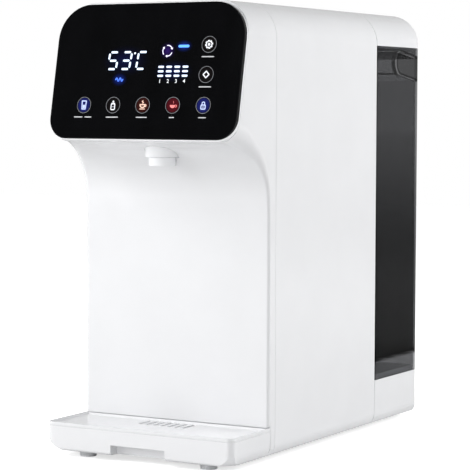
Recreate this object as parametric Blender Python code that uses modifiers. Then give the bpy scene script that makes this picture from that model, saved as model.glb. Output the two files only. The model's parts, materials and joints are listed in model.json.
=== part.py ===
"""Countertop water purifier: a smoked lift-off tank behind a white body, a leaning touch panel over a cup
niche, and a pull-out drip tray.

Metres, +Z up. The origin is the middle of the footprint on the worktop. +X is the right side seen from the
front, and the front faces -Y.
"""

import math

import bmesh
import bpy
from mathutils import Matrix, Vector

# Driving sizes of the whole machine
BODY_WIDTH = 0.190
BODY_DEPTH = 0.372
BODY_HEIGHT = 0.400
FOOT_HEIGHT = 0.0055
WALL = 0.0025
GAP = 0.0003
TOP_RADIUS = 0.0317
BOTTOM_RADIUS = 0.0165
BOTTOM_SINK = 0.006
FRONT_SECTION_DEPTH = 0.0745
NICHE_DEPTH = 0.0631
TANK_SECTION_DEPTH = 0.0963
TRAY_HEIGHT = 0.025
DOCK_HEIGHT = 0.0419
LID_HEIGHT = 0.0324

# Helper lengths for cuts and for surfaces that must not lie in one plane
OVERRUN = 0.020
SKIM = 0.00002

# Number of facets
TOP_CORNER_STEPS = 10
BOTTOM_CORNER_STEPS = 6
SMALL_CORNER_STEPS = 4
ROUND_STEPS = 32
SMALL_ROUND_STEPS = 16
VALVE_STEPS = 24

# Places that follow from the driving sizes
HALF_WIDTH = BODY_WIDTH / 2
FRONT_Y = -BODY_DEPTH / 2
REAR_Y = BODY_DEPTH / 2
FRONT_SEAM_Y = FRONT_Y + FRONT_SECTION_DEPTH
NICHE_WALL_Y = FRONT_Y + NICHE_DEPTH
REAR_SEAM_Y = REAR_Y - TANK_SECTION_DEPTH
TRAY_TOP = FOOT_HEIGHT + TRAY_HEIGHT
DOCK_TOP = FOOT_HEIGHT + DOCK_HEIGHT
LID_BOTTOM = BODY_HEIGHT - LID_HEIGHT

# Chassis: the floor plate that everything inside stands on, with a tongue under the drip tray
CHASSIS_THICKNESS = 0.003
CHASSIS_SIDE_MARGIN = 0.015
TONGUE_FRONT_MARGIN = 0.0105
CHASSIS_HALF = HALF_WIDTH - CHASSIS_SIDE_MARGIN
CHASSIS_TOP = FOOT_HEIGHT + CHASSIS_THICKNESS
TONGUE_FRONT_Y = FRONT_Y + TONGUE_FRONT_MARGIN

# Bulkhead: the upright wall between the works and the tank
BULKHEAD_THICKNESS = 0.0025
BULKHEAD_REAR_Y = REAR_SEAM_Y - GAP
BULKHEAD_FRONT_Y = BULKHEAD_REAR_Y - BULKHEAD_THICKNESS


def clear_scene():
    for obj in list(bpy.data.objects):
        bpy.data.objects.remove(obj, do_unlink=True)


def new_collection(name):
    collection = bpy.data.collections.new(name)
    bpy.context.scene.collection.children.link(collection)
    return collection


clear_scene()
PARTS = new_collection("water_purifier")
CUTTERS = new_collection("cutters")
CUTTERS.hide_render = True


def plastic(name, colour, roughness, metallic=0.0, transmission=0.0):
    material = bpy.data.materials.new(name)
    material.use_nodes = True
    shader = material.node_tree.nodes["Principled BSDF"]
    shader.inputs["Base Color"].default_value = (*colour, 1.0)
    shader.inputs["Roughness"].default_value = roughness
    shader.inputs["Metallic"].default_value = metallic
    shader.inputs["Transmission Weight"].default_value = transmission
    return material


FINISHES = {
    "white": ((0.86, 0.87, 0.89), 0.25, 0.0, 0.0),
    "black_glass": ((0.01, 0.01, 0.012), 0.06, 0.0, 0.0),
    "black_plastic": ((0.03, 0.03, 0.033), 0.4, 0.0, 0.0),
    "smoke": ((0.16, 0.17, 0.19), 0.12, 0.0, 0.6),
    "grey_plastic": ((0.35, 0.36, 0.38), 0.45, 0.0, 0.0),
    "filter_white": ((0.78, 0.79, 0.80), 0.35, 0.0, 0.0),
    "filter_blue": ((0.10, 0.25, 0.55), 0.35, 0.0, 0.0),
    "steel": ((0.60, 0.61, 0.62), 0.25, 1.0, 0.0),
    "aluminium": ((0.70, 0.71, 0.72), 0.35, 1.0, 0.0),
    "rubber": ((0.55, 0.56, 0.58), 0.7, 0.0, 0.0),
    "silicone": ((0.75, 0.77, 0.78), 0.5, 0.0, 0.0),
    "board_green": ((0.03, 0.20, 0.08), 0.5, 0.0, 0.0),
}
MATERIALS = {name: plastic(name, *values) for name, values in FINISHES.items()}


def link(obj, collection):
    collection.objects.link(obj)
    return obj


def as_cutter(obj):
    """Moves an object among the cutters, which aren't pieces."""
    for collection in list(obj.users_collection):
        collection.objects.unlink(obj)
    CUTTERS.objects.link(obj)
    obj.hide_render = True
    obj.display_type = "WIRE"
    return obj


def mesh_object(name, bm):
    """A mesh object from a bmesh, whose normals are turned outwards."""
    bmesh.ops.recalc_face_normals(bm, faces=bm.faces)
    mesh = bpy.data.meshes.new(name)
    bm.to_mesh(mesh)
    bm.free()
    return link(bpy.data.objects.new(name, mesh), PARTS)


def box(name, low, high):
    """A box between two corners."""
    low, high = Vector(low), Vector(high)
    bm = bmesh.new()
    place = Matrix.Translation((low + high) / 2) @ Matrix.Diagonal((*(high - low), 1))
    bmesh.ops.create_cube(bm, size=1, matrix=place)
    return mesh_object(name, bm)


def boxes(name, corners):
    """Several boxes in one mesh, for a cutter that cuts a pattern."""
    bm = bmesh.new()
    for low, high in corners:
        low, high = Vector(low), Vector(high)
        place = Matrix.Translation((low + high) / 2) @ Matrix.Diagonal((*(high - low), 1))
        bmesh.ops.create_cube(bm, size=1, matrix=place)
    return mesh_object(name, bm)


AXIS_TURNS = {
    "X": Matrix(((0, 0, 1), (1, 0, 0), (0, 1, 0))).to_4x4(),
    "Y": Matrix(((1, 0, 0), (0, 0, -1), (0, 1, 0))).to_4x4(),
    "Z": Matrix.Identity(4),
}


def cylinder(name, centre, radius, low, high, axis="Z", steps=ROUND_STEPS):
    """A cylinder along an axis; centre holds the two other coordinates, in X, Y, Z order."""
    bm = bmesh.new()
    bmesh.ops.create_cone(
        bm, cap_ends=True, segments=steps, radius1=radius, radius2=radius, depth=high - low
    )
    middle = (low + high) / 2
    places = {
        "X": (middle, centre[0], centre[1]),
        "Y": (centre[0], middle, centre[1]),
        "Z": (centre[0], centre[1], middle),
    }
    bmesh.ops.transform(bm, matrix=AXIS_TURNS[axis], verts=bm.verts)
    bmesh.ops.translate(bm, vec=places[axis], verts=bm.verts)
    return mesh_object(name, bm)


def turned(name, profile, place=(0, 0, 0), steps=ROUND_STEPS):
    """A turned piece: (radius, height) points down its outer side, turned about Z by a Screw modifier."""
    mesh = bpy.data.meshes.new(name)
    points = [(radius, 0, height) for radius, height in profile]
    mesh.from_pydata(points, [(i, i + 1) for i in range(len(points) - 1)], [])
    obj = link(bpy.data.objects.new(name, mesh), PARTS)
    obj.location = place
    screw = obj.modifiers.new("Turn", "SCREW")
    screw.steps = steps
    screw.render_steps = steps
    screw.use_merge_vertices = True
    screw.merge_threshold = SKIM
    return obj


def turned_ring(name, profile, place=(0, 0, 0), steps=ROUND_STEPS):
    """A turned piece with a bore: its profile comes back up inside to its first point."""
    return turned(name, [*profile, profile[0]], place, steps)


def arc(centre, radii, start, end, steps):
    """Points on an arc or an ellipse's arc, from one angle to another in degrees."""
    angles = [math.radians(start + (end - start) * i / steps) for i in range(steps + 1)]
    return [
        (centre[0] + radii[0] * math.cos(angle), centre[1] + radii[1] * math.sin(angle))
        for angle in angles
    ]


def rounded_outline(low, high, lower_radius, upper_radius, lower_steps, upper_steps):
    """A rectangle's outline, anticlockwise, with one radius for the lower and one for the upper corners."""
    corners = (
        (high[0] - lower_radius, low[1] + lower_radius, lower_radius, -90, lower_steps),
        (high[0] - upper_radius, high[1] - upper_radius, upper_radius, 0, upper_steps),
        (low[0] + upper_radius, high[1] - upper_radius, upper_radius, 90, upper_steps),
        (low[0] + lower_radius, low[1] + lower_radius, lower_radius, 180, lower_steps),
    )
    points = []
    for x, y, radius, start, steps in corners:
        if radius > SKIM:
            points += arc((x, y), (radius, radius), start, start + 90, steps)
        else:
            points.append((x, y))
    return points


def as_mesh(obj):
    """The curve object as a mesh object at the origin, its caps welded to its sides."""
    bpy.context.view_layer.update()
    graph = bpy.context.evaluated_depsgraph_get()
    mesh = bpy.data.meshes.new_from_object(obj.evaluated_get(graph))
    mesh.transform(obj.matrix_world)
    bm = bmesh.new()
    bm.from_mesh(mesh)
    bmesh.ops.remove_doubles(bm, verts=bm.verts, dist=SKIM)
    name = obj.name
    curve = obj.data
    bpy.data.objects.remove(obj, do_unlink=True)
    bpy.data.curves.remove(curve)
    bpy.data.meshes.remove(mesh)
    return mesh_object(name, bm)


def extruded(name, outline, low, high, axis="Z", frame=None):
    """A flat outline as a 2D curve, extruded between two heights along an axis or in a frame."""
    curve = bpy.data.curves.new(name, "CURVE")
    curve.dimensions = "2D"
    curve.fill_mode = "BOTH"
    curve.extrude = (high - low) / 2
    spline = curve.splines.new("POLY")
    spline.points.add(len(outline) - 1)
    for point, (x, y) in zip(spline.points, outline):
        point.co = (x, y, 0, 1)
    spline.use_cyclic_u = True
    obj = link(bpy.data.objects.new(name, curve), PARTS)
    middle = (low + high) / 2
    if frame is None:
        # Along Y the outline's third axis points to -Y
        frame = AXIS_TURNS[axis]
        middle = -middle if axis == "Y" else middle
    obj.matrix_world = frame @ Matrix.Translation((0, 0, middle))
    return as_mesh(obj)


def smooth_path(points, spacing):
    """Points along a smooth curve through the given ones, about a spacing apart.

    Each span blends the straight lines of its neighbours twice, with its knots at the square root of the
    distance between points, so that it never loops next to a short span.
    """
    ends = [points[0] * 2 - points[1], *points, points[-1] * 2 - points[-2]]
    path = []
    for before, start, end, after in zip(ends, ends[1:], ends[2:], ends[3:]):
        one = math.sqrt((start - before).length)
        two = one + math.sqrt((end - start).length)
        three = two + math.sqrt((after - end).length)
        count = max(2, round((end - start).length / spacing))
        for i in range(count):
            t = one + (two - one) * i / count
            low = before.lerp(start, t / one)
            middle = start.lerp(end, (t - one) / (two - one))
            high = end.lerp(after, (t - two) / (three - two))
            low = low.lerp(middle, t / two)
            high = middle.lerp(high, (t - one) / (three - one))
            path.append(low.lerp(high, (t - one) / (two - one)))
    return [*path, points[-1]]


def tube(name, points, radius):
    """A hose or a wire: a smooth route with straight ends, a round bevel and filled caps."""
    first, last = (points[0] + points[1]) / 2, (points[-2] + points[-1]) / 2
    route = smooth_path([points[0], first, *points[1:-1], last, points[-1]], radius * HOSE_STEP_RADII)
    curve = bpy.data.curves.new(name, "CURVE")
    curve.dimensions = "3D"
    curve.bevel_depth = radius
    curve.bevel_resolution = 2
    curve.use_fill_caps = True
    spline = curve.splines.new("POLY")
    spline.points.add(len(route) - 1)
    for point, place in zip(spline.points, route):
        point.co = (*place, 1)
    return link(bpy.data.objects.new(name, curve), PARTS)


def boolean(obj, other, operation):
    modifier = obj.modifiers.new(other.name, "BOOLEAN")
    modifier.operation = operation
    modifier.solver = "EXACT"
    modifier.object = as_cutter(other)
    return obj


def cut(obj, *others):
    for other in others:
        boolean(obj, other, "DIFFERENCE")
    return obj


def join(obj, *others):
    for other in others:
        boolean(obj, other, "UNION")
    return obj


def keep(obj, other):
    return boolean(obj, other, "INTERSECT")


def rounded(obj, width, segments=2, angle=40):
    """Rounds the edges that are sharper than an angle."""
    bevel = obj.modifiers.new("Round", "BEVEL")
    bevel.width = width
    bevel.segments = segments
    bevel.limit_method = "ANGLE"
    bevel.angle_limit = math.radians(angle)
    return obj


def piece(obj, finish):
    """Gives a finished piece its material and its shading."""
    obj.data.materials.append(MATERIALS[finish])
    if obj.type == "MESH":
        obj.data.shade_smooth()
        obj.data.set_sharp_from_angle(angle=math.radians(35))
    return obj


def origin_at(obj, place):
    """Puts the object's origin on its joint's axis, its shape unmoved."""
    place = Vector(place)
    if obj.type == "MESH" and obj.data.vertices:
        obj.data.transform(Matrix.Translation(-place))
    obj.location = obj.location + place
    return obj


def body_bar(name, inset, low_y, high_y):
    """The body's cross-section, drawn in by an inset, as a bar along Y.

    The lower rounding would end below the underside, which cuts it off flat.
    """
    outline = rounded_outline(
        (-HALF_WIDTH + inset, FOOT_HEIGHT - BOTTOM_SINK + inset),
        (HALF_WIDTH - inset, BODY_HEIGHT - inset),
        BOTTOM_RADIUS - inset,
        TOP_RADIUS - inset,
        BOTTOM_CORNER_STEPS,
        TOP_CORNER_STEPS,
    )
    bar = extruded(name, outline, low_y, high_y, "Y")
    return keep(bar, box(
        name + "_underside",
        (-BODY_WIDTH, low_y - OVERRUN, FOOT_HEIGHT + inset),
        (BODY_WIDTH, high_y + OVERRUN, BODY_HEIGHT + OVERRUN),
    ))


def plan_block(name, inset, low_y, high_y, front_radius, rear_radius, low_z, high_z):
    """A block as wide as the body with rounded upright corners, drawn in by an inset."""
    outline = rounded_outline(
        (-HALF_WIDTH + inset, low_y + inset),
        (HALF_WIDTH - inset, high_y - inset),
        max(front_radius - inset, 0),
        max(rear_radius - inset, 0),
        SMALL_CORNER_STEPS,
        SMALL_CORNER_STEPS,
    )
    return extruded(name, outline, low_z, high_z)


# Panel: its front face leans back, and its lower edge overhangs the niche
PANEL_TILT = math.radians(11.2)
PANEL_SETBACK = 0.0025
PANEL_DROP = 0.1185
PANEL_HEIGHT = 0.1192
PANEL_BOTTOM_Z = BODY_HEIGHT - PANEL_DROP
PANEL_SIDE_MARGIN = 0.0006
PANEL_TOP_RADIUS = 0.0311
PANEL_BOTTOM_RADIUS = 0.018
GLASS_THICKNESS = 0.003
BACKING_THICKNESS = 0.0015
PANEL_STACK = GLASS_THICKNESS + BACKING_THICKNESS + 2 * GAP
PANEL_FRAME = Matrix.Translation((0, FRONT_Y + PANEL_SETBACK, PANEL_BOTTOM_Z)) @ Matrix(
    (
        (1, 0, 0, 0),
        (0, math.sin(PANEL_TILT), -math.cos(PANEL_TILT), 0),
        (0, math.cos(PANEL_TILT), math.sin(PANEL_TILT), 0),
        (0, 0, 0, 1),
    )
)

# Niche: the chin curves down into the upright wall; the edge along both sides is round, widest at the lip
LIP_DROP = 0.0024
LIP_Z = PANEL_BOTTOM_Z - LIP_DROP
CHIN_DEPTH = 0.056
CHIN_DROP = 0.0576
CHIN_SLOPE_SHARE = 0.15
CHIN_CURVE_POWER = 2.5
LIP_EDGE_RADIUS = 0.018
WALL_EDGE_RADIUS = 0.003
EDGE_FADE_LENGTH = 0.039
CHIN_STEPS = 14
EDGE_STEPS = 5
TRAY_TUCK = 0.003

# Window behind the panel, in the panel's own plane
WINDOW_HALF = 0.076
WINDOW_LOW = 0.016
WINDOW_HIGH = 0.104

# Spout: the arm that carries the nozzle out through the chin
SPOUT_REACH = 0.041
SPOUT_HALF = 0.0152
SPOUT_DROP = 0.0018
SPOUT_THICKNESS = 0.0121
SPOUT_TOP = LIP_Z - SPOUT_DROP
SPOUT_BOTTOM = SPOUT_TOP - SPOUT_THICKNESS
SPOUT_EDGE = 0.0048
SPOUT_BORE_RADIUS = 0.0063
SPOUT_BACK = 0.024
SPOUT_Y = FRONT_Y + SPOUT_REACH
NOZZLE_RADIUS = 0.012
NOZZLE_HEIGHT = 0.0077
NOZZLE_BOTTOM = SPOUT_BOTTOM - NOZZLE_HEIGHT
NOZZLE_BORE_RADIUS = 0.004
NOZZLE_SPIGOT_HEIGHT = 0.006


def niche_path():
    """Points down the chin and the wall, as (y, z), with the distance run along them."""
    lip_y = NICHE_WALL_Y - CHIN_DEPTH
    path = []
    for i in range(CHIN_STEPS + 1):
        angle = math.radians(90) * i / CHIN_STEPS
        across = math.sin(angle) ** (2 / CHIN_CURVE_POWER)
        down = max(math.cos(angle), 0) ** (2 / CHIN_CURVE_POWER)
        y = lip_y + CHIN_DEPTH * across
        z = LIP_Z - CHIN_DROP * (1 - down) - CHIN_SLOPE_SHARE * (y - lip_y) * down
        path.append((y, z))
    return path


def edge_radius(run):
    """The side edge's radius at a distance from the lip."""
    fade = math.exp(-((max(run, 0) / EDGE_FADE_LENGTH) ** 2))
    return WALL_EDGE_RADIUS + (LIP_EDGE_RADIUS - WALL_EDGE_RADIUS) * fade


def niche_slab(name, inset):
    """A slab with the niche's side profile, whose side edges are rounded by a radius that changes along it.

    Each ring of points is the profile moved inwards by radius * (1 - cos a), at a half width less
    radius * (1 - sin a), for angles a from 0 on the niche's surface to 90 degrees on the side.
    """
    chin = niche_path()
    runs = [0]
    for before, after in zip(chin, chin[1:]):
        runs.append(runs[-1] + math.dist(before, after))
    chin = [(chin[0][0] - 2 * OVERRUN, chin[0][1]), *chin]
    runs = [0, *runs]
    step_z = TRAY_TOP + GAP
    tuck_y = NICHE_WALL_Y + TRAY_TUCK
    profile = [
        *chin,
        (NICHE_WALL_Y, step_z),
        (tuck_y, step_z),
        (tuck_y, -OVERRUN),
        (FRONT_SEAM_Y + OVERRUN, -OVERRUN),
        (FRONT_SEAM_Y + OVERRUN, BODY_HEIGHT + OVERRUN),
        (chin[0][0], BODY_HEIGHT + OVERRUN),
    ]
    radii = [edge_radius(run) for run in runs]
    radii += [WALL_EDGE_RADIUS] * (len(profile) - len(radii))
    count = len(profile)
    # Material lies to the left of the way along the profile
    sides = []
    for i in range(count):
        run = Vector(profile[(i + 1) % count]) - Vector(profile[i])
        sides.append(Vector((-run.y, run.x)).normalized())
    inwards = []
    for i in range(count):
        total = sides[i - 1] + sides[i]
        inwards.append(total / (1 + sides[i - 1].dot(sides[i])))
    bm = bmesh.new()
    rings = []
    half = HALF_WIDTH - inset + SKIM
    angles = [math.radians(90) * i / EDGE_STEPS for i in range(EDGE_STEPS + 1)]
    for side, order in ((-1, reversed(angles)), (1, angles)):
        for angle in order:
            ring = []
            for point, inward, radius in zip(profile, inwards, radii):
                radius = max(radius - inset, WALL_EDGE_RADIUS / 4)
                moved = Vector(point) + inward * (inset + radius * (1 - math.cos(angle)))
                x = side * (half - radius * (1 - math.sin(angle)))
                ring.append(bm.verts.new((x, moved.x, moved.y)))
            rings.append(ring)
    for ring, following in zip(rings, rings[1:]):
        for i in range(count):
            j = (i + 1) % count
            bm.faces.new((ring[i], ring[j], following[j], following[i]))
    bm.faces.new(rings[0])
    bm.faces.new(reversed(rings[-1]))
    bmesh.ops.triangulate(bm, faces=[face for face in bm.faces if len(face.verts) > 4])
    return mesh_object(name, bm)


def panel_outline(margin=0.0):
    """The panel's outline in its own plane, let out by a margin."""
    return rounded_outline(
        (-HALF_WIDTH + PANEL_SIDE_MARGIN - margin, -margin),
        (HALF_WIDTH - PANEL_SIDE_MARGIN + margin, PANEL_HEIGHT + margin),
        PANEL_BOTTOM_RADIUS + margin,
        PANEL_TOP_RADIUS + margin,
        TOP_CORNER_STEPS,
        TOP_CORNER_STEPS,
    )


def slanted_cutter(name, depth):
    """All that lies in front of the panel's seat, or deeper by a depth, as a plate in the panel's plane."""
    reach = BODY_WIDTH
    outline = ((-reach, -reach), (reach, -reach), (reach, reach), (-reach, reach))
    return extruded(name, outline, -PANEL_STACK - depth, reach, frame=PANEL_FRAME)


def spout_outline(margin):
    """The spout arm seen from above: a half round front end and straight sides running back."""
    half = SPOUT_HALF + margin
    front = arc((0, SPOUT_Y), (half, half), 180, 360, SMALL_ROUND_STEPS)
    back_y = SPOUT_Y + SPOUT_BACK + margin
    return [*front, (half, back_y), (-half, back_y)]


def make_front_housing():
    housing = body_bar("front_housing", 0, FRONT_Y - OVERRUN, FRONT_SEAM_Y - GAP / 2)
    keep(housing, niche_slab("niche_slab_outer", 0))
    cut(housing, slanted_cutter("panel_seat_cut", 0))
    inside = body_bar("front_housing_inside", WALL, FRONT_Y - OVERRUN, FRONT_SEAM_Y + OVERRUN)
    keep(inside, niche_slab("niche_slab_inner", WALL))
    cut(inside, slanted_cutter("panel_wall_cut", WALL))
    window = (
        (-WINDOW_HALF, WINDOW_LOW),
        (WINDOW_HALF, WINDOW_LOW),
        (WINDOW_HALF, WINDOW_HIGH),
        (-WINDOW_HALF, WINDOW_HIGH),
    )
    cut(
        housing,
        inside,
        extruded("window_cut", window, -PANEL_STACK - OVERRUN, OVERRUN, frame=PANEL_FRAME),
        extruded("spout_cut", spout_outline(GAP), SPOUT_BOTTOM - GAP, LIP_Z + OVERRUN / 2),
        cylinder("nozzle_cut", (0, SPOUT_Y), NOZZLE_RADIUS + GAP, NOZZLE_BOTTOM - GAP, SPOUT_TOP),
        box(
            "front_floor_cut",
            (-CHASSIS_HALF - GAP, FRONT_Y, 0),
            (CHASSIS_HALF + GAP, FRONT_SEAM_Y + OVERRUN, CHASSIS_TOP + GAP),
        ),
    )
    return piece(housing, "white")


def make_panel():
    glass = extruded("glass_panel", panel_outline(), -GLASS_THICKNESS, 0, frame=PANEL_FRAME)
    piece(rounded(glass, BACKING_THICKNESS / 4, 1, 60), "black_glass")
    back = -GLASS_THICKNESS - GAP
    outline = panel_outline(-PANEL_SIDE_MARGIN)
    backing = extruded("panel_backing", outline, back - BACKING_THICKNESS, back, frame=PANEL_FRAME)
    return piece(backing, "black_plastic")


# Display board: it sits in the window, on the back of the panel
BOARD_THICKNESS = 0.0016
BOARD_MARGIN = 0.002
BOARD_CHIP_HEIGHT = 0.003
BOARD_CHIP = (0.018, 0.012)
BOARD_PLUG = (0.022, 0.006)
BOARD_PLUG_HEIGHT = 0.006
BOARD_PLUG_LOW = 0.012


def make_display_board():
    top = -PANEL_STACK
    under = top - BOARD_THICKNESS
    outline = rounded_outline(
        (-WINDOW_HALF + BOARD_MARGIN, WINDOW_LOW + BOARD_MARGIN),
        (WINDOW_HALF - BOARD_MARGIN, WINDOW_HIGH - BOARD_MARGIN),
        BOARD_MARGIN,
        BOARD_MARGIN,
        1,
        1,
    )
    board = extruded("display_board", outline, under, top, frame=PANEL_FRAME)
    middle = (WINDOW_LOW + WINDOW_HIGH) / 2
    chip = rounded_outline(
        (-BOARD_CHIP[0] / 2, middle), (BOARD_CHIP[0] / 2, middle + BOARD_CHIP[1]), 0, 0, 1, 1
    )
    plug_low = WINDOW_LOW + BOARD_PLUG_LOW
    plug = rounded_outline(
        (-BOARD_PLUG[0] / 2, plug_low), (BOARD_PLUG[0] / 2, plug_low + BOARD_PLUG[1]), 0, 0, 1, 1
    )
    join(
        board,
        extruded("board_chip", chip, under - BOARD_CHIP_HEIGHT, top - GAP, frame=PANEL_FRAME),
        extruded("board_plug", plug, under - BOARD_PLUG_HEIGHT, top - GAP, frame=PANEL_FRAME),
    )
    return piece(board, "board_green")


# Hose barbs and hoses
HOSE_RADIUS = 0.0035
BARB_RADIUS = 0.0035
BARB_LENGTH = 0.008
HOSE_STEP_RADII = 3
WIRE_RADIUS = 0.0022


def make_spout():
    arm = extruded("spout_arm", spout_outline(0), SPOUT_BOTTOM, SPOUT_TOP)
    rounded(arm, SPOUT_EDGE, 4, 60)
    barb = cylinder(
        "spout_barb", (0, SPOUT_Y), BARB_RADIUS, SPOUT_TOP - SPOUT_EDGE / 2, SPOUT_TOP + BARB_LENGTH,
        steps=SMALL_ROUND_STEPS,
    )
    join(arm, barb)
    bore = cylinder("spout_bore", (0, SPOUT_Y), SPOUT_BORE_RADIUS, SPOUT_BOTTOM - OVERRUN, SPOUT_TOP - WALL)
    cut(arm, bore)
    piece(arm, "white")
    nozzle_top = SPOUT_BOTTOM - GAP
    spigot_radius = SPOUT_BORE_RADIUS - GAP
    nozzle = turned_ring(
        "nozzle",
        [
            (NOZZLE_BORE_RADIUS, nozzle_top + NOZZLE_SPIGOT_HEIGHT),
            (spigot_radius, nozzle_top + NOZZLE_SPIGOT_HEIGHT),
            (spigot_radius, nozzle_top),
            (NOZZLE_RADIUS, nozzle_top),
            (NOZZLE_RADIUS, NOZZLE_BOTTOM + GAP),
            (NOZZLE_RADIUS - GAP, NOZZLE_BOTTOM),
            (NOZZLE_BORE_RADIUS, NOZZLE_BOTTOM),
        ],
        (0, SPOUT_Y, 0),
    )
    piece(nozzle, "white")


def make_middle_shell():
    low_y = FRONT_SEAM_Y + GAP / 2
    high_y = REAR_SEAM_Y - GAP / 2
    shell = body_bar("middle_shell", 0, low_y, high_y)
    cut(
        shell,
        body_bar("middle_inside", WALL, low_y - OVERRUN, high_y + OVERRUN),
        box(
            "middle_floor_cut",
            (-CHASSIS_HALF - GAP, low_y - OVERRUN, 0),
            (CHASSIS_HALF + GAP, high_y + OVERRUN, CHASSIS_TOP + GAP),
        ),
    )
    return piece(shell, "white")


# Feet and screws under the chassis
FOOT_RADIUS = 0.0075
FOOT_STEM_RADIUS = 0.003
FOOT_SIDE_SHARE = 0.775
FRONT_FOOT_MARGIN = 0.017
REAR_FOOT_MARGIN = 0.026
SCREW_RADIUS = 0.0016
SCREW_HEAD_RADIUS = 0.0035
SCREW_HEAD_HEIGHT = 0.0018
SCREW_LENGTH = 0.0075

# The works: the space inside the middle shell, where places are shares of its width, depth and height
WORKS_HALF = HALF_WIDTH - WALL
WORKS_DEPTH = BULKHEAD_FRONT_Y - FRONT_SEAM_Y
WORKS_LOW = CHASSIS_TOP + GAP
WORKS_HEIGHT = BODY_HEIGHT - WALL - WORKS_LOW


def spot(across_share, along_share, up_share=0.0):
    """A place in the works, from its middle, its front seam and its floor."""
    return Vector((
        WORKS_HALF * across_share,
        FRONT_SEAM_Y + WORKS_DEPTH * along_share,
        WORKS_LOW + WORKS_HEIGHT * up_share,
    ))


def block(name, low_shares, high_shares):
    """A box in the works between two corners given as shares."""
    return box(name, spot(*low_shares), spot(*high_shares))


# Places of the filters, from the bulkhead forwards, and of the heater and the pump on the floor
PLATE_THICKNESS = 0.003
CUP_WALL = 0.0018
FILTER_RADIUS = 0.029
FILTER_CLEARANCE = 0.0098
FILTER_SPACING = 0.0058
FILTER_ACROSS_SHARE = -0.476
FILTER_SCREW_SHARE = 0.83
HEATER_PLACE_SHARES = (0.54, 0.184)
PUMP_PLACE_SHARES = (0.508, 0.663)
PUMP_SCREW_SHARE = 0.222
PUMP_HEAD_HALF = 0.0205
PUMP_STAND = 0.0042
CUP_RADIUS = FILTER_RADIUS + GAP + CUP_WALL
FILTER_X = spot(FILTER_ACROSS_SHARE, 0).x
CARBON_Y = BULKHEAD_FRONT_Y - FILTER_CLEARANCE - CUP_RADIUS
MEMBRANE_Y = CARBON_Y - 2 * CUP_RADIUS - FILTER_SPACING
FILTER_SPOTS = {
    "membrane_filter": Vector((FILTER_X, MEMBRANE_Y, 0)),
    "carbon_filter": Vector((FILTER_X, CARBON_Y, 0)),
}
FILTER_MIDDLE = (FILTER_SPOTS["membrane_filter"] + FILTER_SPOTS["carbon_filter"]) / 2
FILTER_SCREW_OFFSET = FILTER_RADIUS * FILTER_SCREW_SHARE
HEATER_SPOT = spot(*HEATER_PLACE_SHARES)
PUMP_SPOT = spot(*PUMP_PLACE_SHARES) + Vector((0, 0, PLATE_THICKNESS + PUMP_STAND + PUMP_HEAD_HALF))
PUMP_SCREW_OFFSET = WORKS_DEPTH * PUMP_SCREW_SHARE
SCREW_PLACES = (
    (PUMP_SPOT.x, PUMP_SPOT.y - PUMP_SCREW_OFFSET),
    (PUMP_SPOT.x, PUMP_SPOT.y + PUMP_SCREW_OFFSET),
    (FILTER_MIDDLE.x - FILTER_SCREW_OFFSET, FILTER_MIDDLE.y),
    (FILTER_MIDDLE.x + FILTER_SCREW_OFFSET, FILTER_MIDDLE.y),
    (HEATER_SPOT.x, HEATER_SPOT.y),
)
FOOT_X = CHASSIS_HALF * FOOT_SIDE_SHARE
FOOT_PLACES = {
    "foot_front_left": (-FOOT_X, FRONT_Y + FRONT_FOOT_MARGIN),
    "foot_front_right": (FOOT_X, FRONT_Y + FRONT_FOOT_MARGIN),
    "foot_rear_left": (-FOOT_X, REAR_Y - REAR_FOOT_MARGIN),
    "foot_rear_right": (FOOT_X, REAR_Y - REAR_FOOT_MARGIN),
}

# Finger notch under the tray's front edge; the chassis steps back behind its pocket
NOTCH_HALF = 0.0275
NOTCH_HEIGHT = 0.009
NOTCH_DEPTH = 0.010
POCKET_WALL = 0.002
NOTCH_TOP = FOOT_HEIGHT + NOTCH_HEIGHT


def screw_hole(name, place, low, high):
    return cylinder(name, place, SCREW_RADIUS + GAP, low, high, steps=SMALL_ROUND_STEPS)


def make_chassis():
    rear = REAR_Y - WALL - GAP
    chassis = box(
        "base_chassis", (-CHASSIS_HALF, TONGUE_FRONT_Y, FOOT_HEIGHT), (CHASSIS_HALF, rear, CHASSIS_TOP)
    )
    pocket_half = NOTCH_HALF + POCKET_WALL + 2 * GAP
    pocket_back = FRONT_Y + NOTCH_DEPTH + POCKET_WALL + 2 * GAP
    cut(chassis, box(
        "chassis_notch",
        (-pocket_half, FRONT_Y - OVERRUN, 0),
        (pocket_half, pocket_back, CHASSIS_TOP + OVERRUN),
    ))
    for name, place in FOOT_PLACES.items():
        cut(chassis, cylinder(
            name + "_hole", place, FOOT_STEM_RADIUS + GAP, -OVERRUN, CHASSIS_TOP + OVERRUN,
            steps=SMALL_ROUND_STEPS,
        ))
    head_top = FOOT_HEIGHT + SCREW_HEAD_HEIGHT + GAP
    for number, place in enumerate(SCREW_PLACES, 1):
        cut(
            chassis,
            screw_hole(f"chassis_screw_hole_{number}", place, -OVERRUN, CHASSIS_TOP + OVERRUN),
            cylinder(
                f"chassis_head_hole_{number}", place, SCREW_HEAD_RADIUS + GAP, -OVERRUN, head_top,
                steps=SMALL_ROUND_STEPS,
            ),
        )
    return piece(chassis, "grey_plastic")


def make_feet():
    for name, place in FOOT_PLACES.items():
        foot = turned(
            name,
            [
                (0, CHASSIS_TOP - GAP),
                (FOOT_STEM_RADIUS, CHASSIS_TOP - GAP),
                (FOOT_STEM_RADIUS, FOOT_HEIGHT - GAP),
                (FOOT_RADIUS, FOOT_HEIGHT - GAP),
                (FOOT_RADIUS, GAP),
                (FOOT_RADIUS - GAP, 0),
                (0, 0),
            ],
            (*place, 0),
            SMALL_ROUND_STEPS,
        )
        piece(foot, "rubber")


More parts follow.
